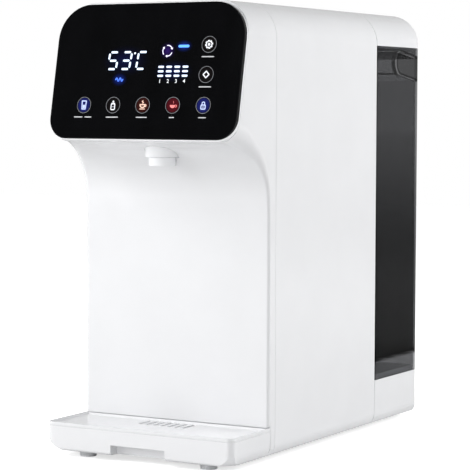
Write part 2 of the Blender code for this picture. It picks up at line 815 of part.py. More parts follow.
def make_screws():
    for number, place in enumerate(SCREW_PLACES, 1):
        screw = turned(
            f"base_screw_{number}",
            [
                (0, FOOT_HEIGHT + SCREW_LENGTH),
                (SCREW_RADIUS, FOOT_HEIGHT + SCREW_LENGTH),
                (SCREW_RADIUS, FOOT_HEIGHT + SCREW_HEAD_HEIGHT),
                (SCREW_HEAD_RADIUS, FOOT_HEIGHT + SCREW_HEAD_HEIGHT),
                (SCREW_HEAD_RADIUS, FOOT_HEIGHT + GAP),
                (0, FOOT_HEIGHT + GAP),
            ],
            (*place, 0),
            SMALL_ROUND_STEPS,
        )
        piece(screw, "steel")


# The tank's hose and the mains cable each pass the bulkhead through a hole
HOSE_HOLE_RISE = 0.0172
HOSE_HOLE_RADIUS = 0.008
CABLE_HOLE_X = -0.030
HOSE_HOLE_Z = WORKS_LOW + HOSE_HOLE_RISE


def make_bulkhead():
    inset = WALL + GAP
    bulkhead = body_bar("rear_bulkhead", inset, BULKHEAD_FRONT_Y, BULKHEAD_REAR_Y)
    cut(
        bulkhead,
        box(
            "bulkhead_foot_cut",
            (-BODY_WIDTH, BULKHEAD_FRONT_Y - OVERRUN, 0),
            (BODY_WIDTH, BULKHEAD_REAR_Y + OVERRUN, CHASSIS_TOP + GAP),
        ),
    )
    for name, x in (("hose_hole", 0), ("cable_hole", CABLE_HOLE_X)):
        hole = cylinder(
            name, (x, HOSE_HOLE_Z), HOSE_HOLE_RADIUS, BULKHEAD_FRONT_Y - OVERRUN, BULKHEAD_REAR_Y + OVERRUN,
            "Y", SMALL_ROUND_STEPS,
        )
        cut(bulkhead, hole)
    return piece(bulkhead, "grey_plastic")


# Dock, tank and lid share one plan with rounded rear corners
TANK_FRONT_RADIUS = 0.002
TANK_REAR_RADIUS = 0.004
DOCK_DECK = 0.003
PLATFORM_HEIGHT = 0.005
PLATFORM_CLEARANCE = 0.0008
VALVE_SETBACK = 0.0463
VALVE_Y = REAR_SEAM_Y + VALVE_SETBACK
PORT_RADIUS = 0.0095
PORT_FLANGE_RADIUS = 0.0125
PORT_FLANGE_HEIGHT = 0.002
PORT_DEPTH = 0.010
PORT_BORE_RADIUS = 0.007
PIN_RADIUS = 0.002
INLET_SIDE_MARGIN = 0.045
INLET_X = -HALF_WIDTH + INLET_SIDE_MARGIN
INLET_Z = (FOOT_HEIGHT + DOCK_TOP) / 2
INLET_SIZE = (0.029, 0.022)
INLET_DEPTH = 0.020
INLET_FLANGE_SIZE = (0.034, 0.027)
INLET_FLANGE_DEPTH = 0.0015
INLET_WALL = 0.0015
INLET_PIN_SIZE = (0.002, 0.005)
INLET_PIN_SPACING = 0.007
DOCK_FRONT_Y = REAR_SEAM_Y + GAP
DOCK_OPENING_HALF = 0.045
DOCK_OPENING_TOP_MARGIN = 0.008


def make_dock():
    top = DOCK_TOP - GAP
    dock = plan_block(
        "rear_dock", 0, DOCK_FRONT_Y, REAR_Y, TANK_FRONT_RADIUS, TANK_REAR_RADIUS, FOOT_HEIGHT, top
    )
    keep(dock, body_bar("dock_section", -SKIM, DOCK_FRONT_Y - OVERRUN, REAR_Y + OVERRUN))
    inset = WALL + PLATFORM_CLEARANCE
    platform = plan_block(
        "dock_platform", inset, DOCK_FRONT_Y, REAR_Y, TANK_FRONT_RADIUS, TANK_REAR_RADIUS,
        top - DOCK_DECK / 2, top + PLATFORM_HEIGHT,
    )
    join(dock, platform)
    inside = body_bar("dock_inside", WALL, DOCK_FRONT_Y + WALL, REAR_Y - WALL)
    keep(inside, box(
        "dock_under_deck", (-BODY_WIDTH, 0, -OVERRUN), (BODY_WIDTH, BODY_DEPTH, top - DOCK_DECK)
    ))
    inlet_half = (INLET_SIZE[0] / 2 + GAP, INLET_SIZE[1] / 2 + GAP)
    cut(
        dock,
        inside,
        box(
            "dock_floor_cut",
            (-CHASSIS_HALF - GAP, DOCK_FRONT_Y - OVERRUN, 0),
            (CHASSIS_HALF + GAP, REAR_Y - WALL - GAP / 2, CHASSIS_TOP + GAP),
        ),
        box(
            "dock_hose_opening",
            (-DOCK_OPENING_HALF, DOCK_FRONT_Y - OVERRUN, CHASSIS_TOP),
            (DOCK_OPENING_HALF, DOCK_FRONT_Y + WALL + OVERRUN / 2, DOCK_TOP - DOCK_OPENING_TOP_MARGIN),
        ),
        cylinder("dock_port_hole", (0, VALVE_Y), PORT_RADIUS + GAP, CHASSIS_TOP, DOCK_TOP + OVERRUN),
        cylinder(
            "dock_port_recess", (0, VALVE_Y), PORT_FLANGE_RADIUS + GAP,
            top + PLATFORM_HEIGHT - PORT_FLANGE_HEIGHT - GAP, DOCK_TOP + OVERRUN,
        ),
        box(
            "inlet_hole",
            (INLET_X - inlet_half[0], REAR_Y - WALL - OVERRUN / 2, INLET_Z - inlet_half[1]),
            (INLET_X + inlet_half[0], REAR_Y + OVERRUN, INLET_Z + inlet_half[1]),
        ),
    )
    return piece(dock, "white")


def make_dock_port():
    """The water port in the dock, with the fixed pin that opens the tank's valve."""
    top = DOCK_TOP - GAP + PLATFORM_HEIGHT
    deck_under = DOCK_TOP - GAP - DOCK_DECK
    low = deck_under - PORT_DEPTH
    port = turned(
        "dock_port",
        [
            (0, top),
            (PORT_FLANGE_RADIUS, top),
            (PORT_FLANGE_RADIUS, top - PORT_FLANGE_HEIGHT),
            (PORT_RADIUS, top - PORT_FLANGE_HEIGHT),
            (PORT_RADIUS, low),
            (0, low),
        ],
        (0, VALVE_Y, 0),
    )
    pin_top = VALVE_LOW - 2 * GAP
    barb_rear = VALVE_Y - PORT_RADIUS + PIN_RADIUS
    barb_z = low + BARB_RADIUS + GAP
    cut(port, cylinder("port_bore", (0, VALVE_Y), PORT_BORE_RADIUS, deck_under, top + OVERRUN))
    join(
        port,
        cylinder("port_pin", (0, VALVE_Y), PIN_RADIUS, low + PIN_RADIUS, pin_top, steps=SMALL_ROUND_STEPS),
        cylinder(
            "port_barb", (0, barb_z), BARB_RADIUS, barb_rear - BARB_LENGTH, barb_rear,
            "Y", SMALL_ROUND_STEPS,
        ),
    )
    return piece(port, "grey_plastic")


# Power inlet: the socket in the dock's back, with its three flat pins
def make_power_inlet():
    half_x, half_z = INLET_SIZE[0] / 2, INLET_SIZE[1] / 2
    flange_x, flange_z = INLET_FLANGE_SIZE[0] / 2, INLET_FLANGE_SIZE[1] / 2
    front = REAR_Y - INLET_DEPTH
    inlet = box(
        "power_inlet",
        (INLET_X - half_x, front, INLET_Z - half_z),
        (INLET_X + half_x, REAR_Y - GAP, INLET_Z + half_z),
    )
    collar = box(
        "inlet_collar",
        (INLET_X - flange_x, REAR_Y - WALL - GAP - INLET_FLANGE_DEPTH, INLET_Z - flange_z),
        (INLET_X + flange_x, REAR_Y - WALL - GAP, INLET_Z + flange_z),
    )
    join(inlet, collar)
    cavity = box(
        "inlet_cavity",
        (INLET_X - half_x + INLET_WALL, front + INLET_WALL, INLET_Z - half_z + INLET_WALL),
        (INLET_X + half_x - INLET_WALL, REAR_Y + OVERRUN, INLET_Z + half_z - INLET_WALL),
    )
    cut(inlet, cavity)
    for number in (-1, 0, 1):
        x = INLET_X + number * INLET_PIN_SPACING
        pin = box(
            f"inlet_pin_{number + 2}",
            (x - INLET_PIN_SIZE[0] / 2, front + INLET_WALL / 2, INLET_Z - INLET_PIN_SIZE[1] / 2),
            (x + INLET_PIN_SIZE[0] / 2, REAR_Y - INLET_DEPTH / 4, INLET_Z + INLET_PIN_SIZE[1] / 2),
        )
        join(inlet, pin)
    return piece(inlet, "black_plastic")


# Tank: its floor stands above the dock on a skirt, and a finger channel is moulded into its back
TANK_FLOOR_HEIGHT = 0.0194
TANK_FLOOR = 0.0025
TANK_FRONT_Y = REAR_SEAM_Y + GAP
GRIP_DEPTH = 0.050
GRIP_HALF_HEIGHT = 0.010
GRIP_BELOW_LID = 0.0151
GRIP_SLOPE = math.radians(8)
GRIP_SIDE_MARGIN = 0.003
GRIP_WALL = 0.002
VALVE_NECK_RADIUS = 0.0085
VALVE_FLANGE_RADIUS = 0.013
VALVE_FLANGE_HEIGHT = 0.002
VALVE_SEAL_THICKNESS = 0.001
VALVE_SEAT_RADIUS = 0.003
VALVE_INSIDE_RADIUS = 0.0065
VALVE_FLOOR = 0.0015
VALVE_CLEARANCE = 0.0012
VALVE_LIP = 0.0025
POPPET_RADIUS = 0.0055
POPPET_DISC = 0.0015
POPPET_STEM_RADIUS = 0.0018
SPRING_RADIUS = 0.0038
SPRING_WIRE_RADIUS = 0.0004
SPRING_TURNS = 4
SPRING_STEPS_PER_TURN = 12
TANK_FLOOR_TOP = DOCK_TOP + TANK_FLOOR_HEIGHT
TANK_FLOOR_UNDER = TANK_FLOOR_TOP - TANK_FLOOR
VALVE_LOW = DOCK_TOP - GAP + PLATFORM_HEIGHT + VALVE_CLEARANCE


def grip_outline(margin):
    """The finger channel seen from the side, as (y, z): a round front end and two sides to the back."""
    radius = GRIP_HALF_HEIGHT + margin
    front = REAR_Y - GRIP_DEPTH + GRIP_HALF_HEIGHT
    middle_z = LID_BOTTOM - GRIP_BELOW_LID
    run = GRIP_DEPTH + OVERRUN
    points = arc((0, 0), (radius, radius), 90, 270, SMALL_ROUND_STEPS // 2)
    points = [*points, (run, -radius), (run, radius)]
    turn = Matrix.Rotation(-GRIP_SLOPE, 2)
    return [tuple(turn @ Vector(point) + Vector((front, middle_z))) for point in points]


def make_tank():
    radii = (TANK_FRONT_RADIUS, TANK_REAR_RADIUS)
    low, high = DOCK_TOP, LID_BOTTOM - GAP
    tank = plan_block("water_tank", 0, TANK_FRONT_Y, REAR_Y, *radii, low, high)
    cavity = plan_block("tank_cavity", WALL, TANK_FRONT_Y, REAR_Y, *radii, TANK_FLOOR_TOP, high + OVERRUN)
    cut(cavity, extruded("grip_body", grip_outline(GRIP_WALL), -BODY_WIDTH, BODY_WIDTH, "X"))
    grip_half = HALF_WIDTH - WALL - GRIP_SIDE_MARGIN
    cut(
        tank,
        cavity,
        plan_block("tank_skirt", WALL, TANK_FRONT_Y, REAR_Y, *radii, low - OVERRUN, TANK_FLOOR_UNDER),
        extruded("grip_channel", grip_outline(0), -grip_half, grip_half, "X"),
        cylinder("valve_hole", (0, VALVE_Y), VALVE_NECK_RADIUS + GAP, low, TANK_FLOOR_TOP + OVERRUN),
    )
    return piece(origin_at(tank, (0, VALVE_Y, low)), "smoke")


def make_tank_valve():
    """The valve in the tank's floor: body, seal, poppet and spring, drawn shut."""
    place = (0, VALVE_Y, 0)
    steps = VALVE_STEPS
    flange_low = TANK_FLOOR_TOP + 2 * GAP + VALVE_SEAL_THICKNESS
    flange_high = flange_low + VALVE_FLANGE_HEIGHT
    inside_low = VALVE_LOW + VALVE_FLOOR
    body = turned_ring(
        "valve_body",
        [
            (VALVE_INSIDE_RADIUS, flange_high),
            (VALVE_FLANGE_RADIUS, flange_high),
            (VALVE_FLANGE_RADIUS, flange_low),
            (VALVE_NECK_RADIUS, flange_low),
            (VALVE_NECK_RADIUS, VALVE_LOW),
            (VALVE_SEAT_RADIUS, VALVE_LOW),
            (VALVE_SEAT_RADIUS, inside_low),
            (VALVE_INSIDE_RADIUS, inside_low),
        ],
        place,
        steps,
    )
    piece(body, "filter_white")
    seal_low = TANK_FLOOR_TOP + GAP
    seal_high = seal_low + VALVE_SEAL_THICKNESS
    seal = turned_ring(
        "valve_seal",
        [
            (VALVE_NECK_RADIUS + GAP, seal_high),
            (VALVE_FLANGE_RADIUS, seal_high),
            (VALVE_FLANGE_RADIUS, seal_low),
            (VALVE_NECK_RADIUS + GAP, seal_low),
        ],
        place,
        steps,
    )
    piece(seal, "silicone")
    disc_low = inside_low + GAP
    disc_high = disc_low + POPPET_DISC
    poppet = turned(
        "valve_poppet",
        [
            (0, flange_high - VALVE_LIP),
            (POPPET_STEM_RADIUS, flange_high - VALVE_LIP),
            (POPPET_STEM_RADIUS, disc_high),
            (POPPET_RADIUS, disc_high),
            (POPPET_RADIUS, disc_low),
            (POPPET_STEM_RADIUS, disc_low),
            (POPPET_STEM_RADIUS, VALVE_LOW + GAP),
            (0, VALVE_LOW + GAP),
        ],
        place,
        SMALL_ROUND_STEPS,
    )
    piece(poppet, "filter_white")
    cap_low = flange_high + GAP
    cap = turned_ring(
        "valve_cap",
        [
            (POPPET_STEM_RADIUS + GAP, cap_low + POPPET_DISC),
            (VALVE_INSIDE_RADIUS, cap_low + POPPET_DISC),
            (VALVE_FLANGE_RADIUS, cap_low),
            (POPPET_STEM_RADIUS + GAP, cap_low),
        ],
        place,
        steps,
    )
    for number in range(4):
        angle = math.radians(90) * number
        spot = (POPPET_RADIUS * math.cos(angle), VALVE_Y + POPPET_RADIUS * math.sin(angle))
        cut(cap, cylinder(
            f"cap_hole_{number + 1}", spot, POPPET_STEM_RADIUS, cap_low - OVERRUN, cap_low + OVERRUN,
            steps=VALVE_STEPS // 2,
        ))
    piece(cap, "filter_white")
    spring_low = disc_high + SPRING_WIRE_RADIUS + GAP
    spring_high = cap_low - SPRING_WIRE_RADIUS - GAP
    count = SPRING_TURNS * SPRING_STEPS_PER_TURN
    curve = bpy.data.curves.new("valve_spring", "CURVE")
    curve.dimensions = "3D"
    curve.bevel_depth = SPRING_WIRE_RADIUS
    curve.bevel_resolution = 1
    curve.use_fill_caps = True
    spline = curve.splines.new("POLY")
    spline.points.add(count)
    for i, point in enumerate(spline.points):
        angle = math.tau * i / SPRING_STEPS_PER_TURN
        height = spring_low + (spring_high - spring_low) * i / count
        point.co = (SPRING_RADIUS * math.cos(angle), SPRING_RADIUS * math.sin(angle), height, 1)
    spring = link(bpy.data.objects.new("valve_spring", curve), PARTS)
    spring.location = place
    return piece(spring, "steel")


# Lid: a hollow cover with a rim that plugs the tank's mouth
PLUG_DEPTH = 0.002
PLUG_CLEARANCE = 0.0004
PLUG_THICKNESS = 0.002


def make_lid():
    radii = (TANK_FRONT_RADIUS, TANK_REAR_RADIUS)
    low = LID_BOTTOM
    lid = plan_block("tank_lid", 0, TANK_FRONT_Y, REAR_Y, *radii, low, BODY_HEIGHT)
    keep(lid, body_bar("lid_section", -SKIM, TANK_FRONT_Y - OVERRUN, REAR_Y + OVERRUN))
    plug_inset = WALL + PLUG_CLEARANCE
    join(lid, plan_block(
        "lid_plug", plug_inset, TANK_FRONT_Y, REAR_Y, *radii, low - PLUG_DEPTH, low + WALL
    ))
    hollow = plan_block(
        "lid_hollow", plug_inset + PLUG_THICKNESS, TANK_FRONT_Y, REAR_Y, *radii,
        low - OVERRUN, BODY_HEIGHT - WALL,
    )
    keep(hollow, body_bar(
        "lid_hollow_section", WALL + PLUG_THICKNESS, TANK_FRONT_Y - OVERRUN, REAR_Y + OVERRUN
    ))
    cut(lid, hollow)
    return piece(origin_at(lid, (0, VALVE_Y, low)), "white")


# Drip tray: a pull-out drawer with a finger notch under its front edge, and a slotted plate in its rim
TRAY_FRONT_RADIUS = 0.0065
TRAY_CORNER_RADIUS = 0.012
TRAY_LOWER_RADIUS = 0.003
TRAY_CORNER_CLEARANCE = 0.0025
RIM_GROOVE_DROP = 0.0028
RIM_GROOVE_SIZE = 0.0006
TRAY_RIM = 0.0018
PLATE_RECESS = 0.002
DRIP_PLATE_THICKNESS = 0.002
BASIN_MARGIN = 0.006
TRAY_FLOOR = 0.002
TRAY_FLOOR_CLEARANCE = 0.002
TRAY_FLOOR_UNDER = CHASSIS_TOP + TRAY_FLOOR_CLEARANCE
TRAY_FLOOR_TOP = TRAY_FLOOR_UNDER + TRAY_FLOOR
PLATE_SLOT_COUNT = 7
PLATE_SLOT_PITCH = 0.0075
PLATE_SLOT_WIDTH = 0.003
PLATE_SLOT_LENGTH = 0.021
PLATE_SLOT_SETBACK = 0.0385
TRAY_REAR_Y = NICHE_WALL_Y + TRAY_TUCK - GAP


def corner_bar(name, angle, inset, radius):
    """A bar level with the floor across the tray's corner at an angle, its lower outer edge rounded.

    Its outer face touches the tray's upright rounding, drawn in by an inset.
    """
    diagonal = math.sqrt(2)
    reach = HALF_WIDTH * diagonal - TRAY_FRONT_RADIUS * (diagonal - 1) + SKIM - inset
    outline = rounded_outline(
        (-BODY_DEPTH, FOOT_HEIGHT - SKIM - inset), (reach, BODY_HEIGHT), radius, 0, BOTTOM_CORNER_STEPS, 0
    )
    middle = Matrix.Translation((0, FRONT_Y + HALF_WIDTH, 0))
    frame = middle @ Matrix.Rotation(math.radians(angle), 4, "Z") @ AXIS_TURNS["Y"]
    return extruded(name, outline, -BODY_WIDTH, BODY_WIDTH, frame=frame)


def rim_groove():
    """The fine line round the tray, under its rim."""
    high = TRAY_TOP - RIM_GROOVE_DROP
    ring = plan_block(
        "rim_groove", -OVERRUN, FRONT_Y, TRAY_REAR_Y + 2 * OVERRUN, TRAY_FRONT_RADIUS, 0,
        high - RIM_GROOVE_SIZE, high,
    )
    core = plan_block(
        "rim_groove_core", RIM_GROOVE_SIZE, FRONT_Y, TRAY_REAR_Y + 2 * OVERRUN, TRAY_FRONT_RADIUS, 0,
        high - OVERRUN, high + OVERRUN,
    )
    return cut(ring, core)


def make_tray():
    tray = plan_block(
        "drip_tray", 0, FRONT_Y, TRAY_REAR_Y, TRAY_FRONT_RADIUS, 0, FOOT_HEIGHT, TRAY_TOP
    )
    keep(tray, body_bar("tray_section", -SKIM, FRONT_Y - OVERRUN, TRAY_REAR_Y + OVERRUN))
    for side, angle in (("right", -45), ("left", -135)):
        keep(tray, corner_bar(f"tray_corner_{side}", angle, 0, TRAY_CORNER_RADIUS))
    lower_edge = rounded_outline(
        (FRONT_Y - SKIM, FOOT_HEIGHT - SKIM), (BODY_DEPTH, BODY_HEIGHT), TRAY_LOWER_RADIUS, 0, EDGE_STEPS, 0
    )
    keep(tray, extruded("tray_lower_edge", lower_edge, -BODY_WIDTH, BODY_WIDTH, "X"))
    ledge_z = TRAY_TOP - PLATE_RECESS - DRIP_PLATE_THICKNESS - GAP
    recess = plan_block(
        "plate_recess", TRAY_RIM, FRONT_Y, TRAY_REAR_Y + OVERRUN, TRAY_FRONT_RADIUS, 0,
        ledge_z, TRAY_TOP + OVERRUN,
    )
    basin = plan_block(
        "tray_basin", BASIN_MARGIN, FRONT_Y, TRAY_REAR_Y, TRAY_FRONT_RADIUS, 0, TRAY_FLOOR_TOP, TRAY_TOP
    )
    pocket = box(
        "notch_pocket",
        (-NOTCH_HALF - POCKET_WALL, FRONT_Y, -OVERRUN),
        (NOTCH_HALF + POCKET_WALL, FRONT_Y + NOTCH_DEPTH + POCKET_WALL, NOTCH_TOP + POCKET_WALL),
    )
    cut(basin, pocket)
    opening = box(
        "tray_floor_opening",
        (-CHASSIS_HALF - GAP, FRONT_Y + WALL, 0),
        (CHASSIS_HALF + GAP, TRAY_REAR_Y + OVERRUN, TRAY_FLOOR_UNDER),
    )
    cut(opening, pocket)
    for side, angle in (("right", -45), ("left", -135)):
        inset = TRAY_CORNER_RADIUS + TRAY_CORNER_CLEARANCE
        keep(opening, corner_bar(f"opening_corner_{side}", angle, inset, 0))
    notch = box(
        "finger_notch", (-NOTCH_HALF, FRONT_Y - OVERRUN, 0), (NOTCH_HALF, FRONT_Y + NOTCH_DEPTH, NOTCH_TOP)
    )
    cut(tray, recess, basin, opening, notch, rim_groove())
    return piece(origin_at(tray, (0, FRONT_Y, FOOT_HEIGHT)), "white")


def make_drip_plate():
    inset = TRAY_RIM + GAP
    top = TRAY_TOP - PLATE_RECESS
    plate = plan_block(
        "drip_plate", inset, FRONT_Y, NICHE_WALL_Y - GAP + inset, TRAY_FRONT_RADIUS, 0,
        top - DRIP_PLATE_THICKNESS, top,
    )
    middle_y = (FRONT_Y + NICHE_WALL_Y) / 2
    slots_y = FRONT_Y + PLATE_SLOT_SETBACK
    slots = []
    for number in range(PLATE_SLOT_COUNT):
        x = (number - (PLATE_SLOT_COUNT - 1) / 2) * PLATE_SLOT_PITCH
        slots.append((
            (x - PLATE_SLOT_WIDTH / 2, slots_y, TRAY_FLOOR_TOP),
            (x + PLATE_SLOT_WIDTH / 2, slots_y + PLATE_SLOT_LENGTH, TRAY_TOP),
        ))
    cut(plate, boxes("plate_slots", slots))
    return piece(origin_at(plate, (0, middle_y, top)), "white")


# Filters: two cartridges in a cradle, each turned into the head above it
FILTER_TOP_SHARE = 0.712
FILTER_SHOULDER = 0.010
FILTER_NECK_RADIUS = 0.014
FILTER_NECK_HEIGHT = 0.012
FILTER_RIB_COUNT = 12
FILTER_RIB_REACH = 0.0012
FILTER_RIB_WIDTH = 0.002
FILTER_RIB_SHARES = (0.08, 0.13)
CUP_HEIGHT = 0.012
HEAD_GAP = 0.005
HEAD_HEIGHT = 0.024
HEAD_HALF = 0.020
HEAD_FRONT_MARGIN = 0.019
SOCKET_DEPTH = 0.009
FILTER_LOW = WORKS_LOW + PLATE_THICKNESS + GAP
FILTER_TOP = WORKS_LOW + WORKS_HEIGHT * FILTER_TOP_SHARE
HEAD_LOW = FILTER_TOP + HEAD_GAP
HEAD_HIGH = HEAD_LOW + HEAD_HEIGHT
HEAD_SIDE_X = FILTER_MIDDLE.x + HEAD_HALF
HEAD_PORT_Z = (HEAD_LOW + HEAD_HIGH) / 2


def make_filters():
    low = FILTER_SPOTS["membrane_filter"]
    high = FILTER_SPOTS["carbon_filter"]
    cradle = box(
        "filter_cradle",
        (low.x - CUP_RADIUS, low.y - CUP_RADIUS, WORKS_LOW),
        (high.x + CUP_RADIUS, high.y + CUP_RADIUS, WORKS_LOW + PLATE_THICKNESS),
    )
    plate_top = WORKS_LOW + PLATE_THICKNESS
    for name, place in FILTER_SPOTS.items():
        cup = turned_ring(
            name + "_cup",
            [
                (FILTER_RADIUS + GAP, plate_top + CUP_HEIGHT),
                (CUP_RADIUS, plate_top + CUP_HEIGHT),
                (CUP_RADIUS, plate_top - PLATE_THICKNESS / 2),
                (FILTER_RADIUS + GAP, plate_top - PLATE_THICKNESS / 2),
            ],
            (place.x, place.y, 0),
        )
        join(cradle, cup)
    for number in (3, 4):
        hole = screw_hole(f"cradle_screw_hole_{number}", SCREW_PLACES[number - 1], 0, WORKS_LOW + OVERRUN)
        cut(cradle, hole)
    piece(cradle, "grey_plastic")
    for name, place in FILTER_SPOTS.items():
        cartridge = turned(
            name,
            [
                (0, FILTER_TOP + FILTER_NECK_HEIGHT),
                (FILTER_NECK_RADIUS, FILTER_TOP + FILTER_NECK_HEIGHT),
                (FILTER_NECK_RADIUS, FILTER_TOP),
                (FILTER_RADIUS - FILTER_SHOULDER / 2, FILTER_TOP),
                (FILTER_RADIUS, FILTER_TOP - FILTER_SHOULDER),
                (FILTER_RADIUS, FILTER_LOW),
                (0, FILTER_LOW),
            ],
            (place.x, place.y, 0),
        )
        rib_low = spot(0, 0, FILTER_RIB_SHARES[0]).z
        rib_high = spot(0, 0, FILTER_RIB_SHARES[1]).z
        bm = bmesh.new()
        for number in range(FILTER_RIB_COUNT):
            turn = Matrix.Rotation(math.tau * number / FILTER_RIB_COUNT, 4, "Z")
            middle = Matrix.Translation((FILTER_RADIUS, 0, (rib_low + rib_high) / 2))
            size = Matrix.Diagonal((2 * FILTER_RIB_REACH, FILTER_RIB_WIDTH, rib_high - rib_low, 1))
            bmesh.ops.create_cube(bm, size=1, matrix=turn @ middle @ size)
        ribs = mesh_object(name + "_ribs", bm)
        ribs.location = (place.x, place.y, 0)
        join(cartridge, ribs)
        piece(cartridge, "filter_white" if name == "carbon_filter" else "filter_blue")
    head = box(
        "filter_head",
        (FILTER_MIDDLE.x - HEAD_HALF, low.y - HEAD_FRONT_MARGIN, HEAD_LOW),
        (HEAD_SIDE_X, BULKHEAD_FRONT_Y - GAP, HEAD_HIGH),
    )
    join(head, cylinder(
        "head_inlet_barb", (high.y, HEAD_PORT_Z), BARB_RADIUS, HEAD_SIDE_X - BARB_LENGTH,
        HEAD_SIDE_X + BARB_LENGTH, "X", SMALL_ROUND_STEPS,
    ))
    for name, place in FILTER_SPOTS.items():
        cut(head, cylinder(
            name + "_socket", (place.x, place.y), FILTER_NECK_RADIUS + GAP, HEAD_LOW - OVERRUN,
            HEAD_LOW + SOCKET_DEPTH,
        ))
    piece(head, "grey_plastic")


# Clean-water valve on the side of the filter head, with its coil on top
SOLENOID_LENGTH = 0.018
SOLENOID_HALF = 0.010
SOLENOID_HALF_HEIGHT = 0.009
COIL_MARGIN = 0.002
COIL_HEIGHT = 0.018
SOLENOID_HIGH_X = HEAD_SIDE_X + GAP + SOLENOID_LENGTH


def make_solenoid():
    low_x = HEAD_SIDE_X + GAP
    middle_y = FILTER_MIDDLE.y
    top = HEAD_PORT_Z + SOLENOID_HALF_HEIGHT
    valve = box(
        "solenoid_valve",
        (low_x, middle_y - SOLENOID_HALF, HEAD_PORT_Z - SOLENOID_HALF_HEIGHT),
        (SOLENOID_HIGH_X, middle_y + SOLENOID_HALF, top),
    )
    join(valve, cylinder(
        "solenoid_barb", (middle_y, HEAD_PORT_Z), BARB_RADIUS, low_x + SOLENOID_LENGTH / 2,
        SOLENOID_HIGH_X + BARB_LENGTH, "X", SMALL_ROUND_STEPS,
    ))
    piece(valve, "filter_white")
    coil = box(
        "solenoid_coil",
        (low_x + COIL_MARGIN, middle_y - SOLENOID_HALF + COIL_MARGIN, top + GAP),
        (SOLENOID_HIGH_X - COIL_MARGIN, middle_y + SOLENOID_HALF - COIL_MARGIN, top + GAP + COIL_HEIGHT),
    )
    piece(rounded(coil, COIL_MARGIN / 2, 1), "black_plastic")


# Pump: a motor lying along the machine in a bracket, with its head in front
MOTOR_RADIUS = 0.021
MOTOR_SHARES = (0.5368, 0.8745)
MOTOR_BOSS_RADIUS = 0.009
MOTOR_BOSS = 0.004
PUMP_HEAD_LENGTH_SHARE = 0.172
PUMP_PORT_OFFSET = 0.010
SADDLE_HALF = 0.023
SADDLE_THICKNESS = 0.004
SADDLE_SHARES = (0.62, 0.80)
PUMP_BASE_HALF = 0.0265
PUMP_BASE_SHARES = (0.408, 0.918)
PUMP_HEAD_REAR_Y = spot(0, MOTOR_SHARES[0]).y - GAP
PUMP_HEAD_FRONT_Y = PUMP_HEAD_REAR_Y - WORKS_DEPTH * PUMP_HEAD_LENGTH_SHARE
PUMP_PORT_Y = (PUMP_HEAD_REAR_Y + PUMP_HEAD_FRONT_Y) / 2
PUMP_PORT_TOP = PUMP_SPOT.z + PUMP_HEAD_HALF + BARB_LENGTH


def make_pump():
    x, z = PUMP_SPOT.x, PUMP_SPOT.z
    bracket = box(
        "pump_bracket",
        (x - PUMP_BASE_HALF, spot(0, PUMP_BASE_SHARES[0]).y, WORKS_LOW),
        (x + PUMP_BASE_HALF, spot(0, PUMP_BASE_SHARES[1]).y, WORKS_LOW + PLATE_THICKNESS),
    )
    for number, share in enumerate(SADDLE_SHARES, 1):
        y = spot(0, share).y
        join(bracket, box(
            f"pump_saddle_{number}", (x - SADDLE_HALF, y, WORKS_LOW + PLATE_THICKNESS / 2),
            (x + SADDLE_HALF, y + SADDLE_THICKNESS, z - PLATE_THICKNESS),
        ))
    motor_low, motor_high = (spot(0, share).y for share in MOTOR_SHARES)
    cut(
        bracket,
        cylinder("motor_seat", (x, z), MOTOR_RADIUS + GAP, motor_low, motor_high, "Y"),
        screw_hole("pump_screw_hole_1", SCREW_PLACES[0], 0, WORKS_LOW + OVERRUN / 2),
        screw_hole("pump_screw_hole_2", SCREW_PLACES[1], 0, WORKS_LOW + OVERRUN / 2),
    )
    piece(bracket, "grey_plastic")
    motor = cylinder("pump_motor", (x, z), MOTOR_RADIUS, motor_low, motor_high - MOTOR_BOSS, "Y")
    join(motor, cylinder(
        "motor_boss", (x, z), MOTOR_BOSS_RADIUS, motor_low + MOTOR_BOSS, motor_high, "Y", SMALL_ROUND_STEPS
    ))
    piece(motor, "steel")
    head = box(
        "pump_head",
        (x - PUMP_HEAD_HALF, PUMP_HEAD_FRONT_Y, z - PUMP_HEAD_HALF),
        (x + PUMP_HEAD_HALF, PUMP_HEAD_REAR_Y, z + PUMP_HEAD_HALF),
    )
    rounded(head, PUMP_PORT_OFFSET / 4, 1)
    for name, side in (("pump_inlet_barb", -1), ("pump_outlet_barb", 1)):
        join(head, cylinder(
            name, (x + side * PUMP_PORT_OFFSET, PUMP_PORT_Y), BARB_RADIUS, z, PUMP_PORT_TOP,
            steps=SMALL_ROUND_STEPS,
        ))
    piece(head, "black_plastic")


# Heater: an upright tube in two clamps on a post, with the flow sensor below it
HEATER_RADIUS = 0.021
HEATER_SHARES = (0.196, 0.556)
HEATER_DOME = 0.006
HEATER_NECK_RADIUS = 0.005
HEATER_NECK = 0.007
CLAMP_WALL = 0.003
CLAMP_HEIGHT = 0.008
CLAMP_SHARES = (0.26, 0.47)
POST_HALF = 0.016
POST_THICKNESS = 0.004
POST_TOP_SHARE = 0.50
HEATER_BASE_HALF = 0.020
SENSOR_RADIUS = 0.011
SENSOR_HEIGHT = 0.028
CUTOUT_SIZE = (0.006, 0.012, 0.010)
CUTOUT_SHARE = 0.36
HEATER_LOW = spot(0, 0, HEATER_SHARES[0]).z
HEATER_HIGH = spot(0, 0, HEATER_SHARES[1]).z
SENSOR_HIGH = HEATER_LOW - HEATER_NECK - GAP
SENSOR_PORT_Z = SENSOR_HIGH - SENSOR_HEIGHT / 2
SENSOR_PORT_X = HEATER_SPOT.x - SENSOR_RADIUS - BARB_LENGTH


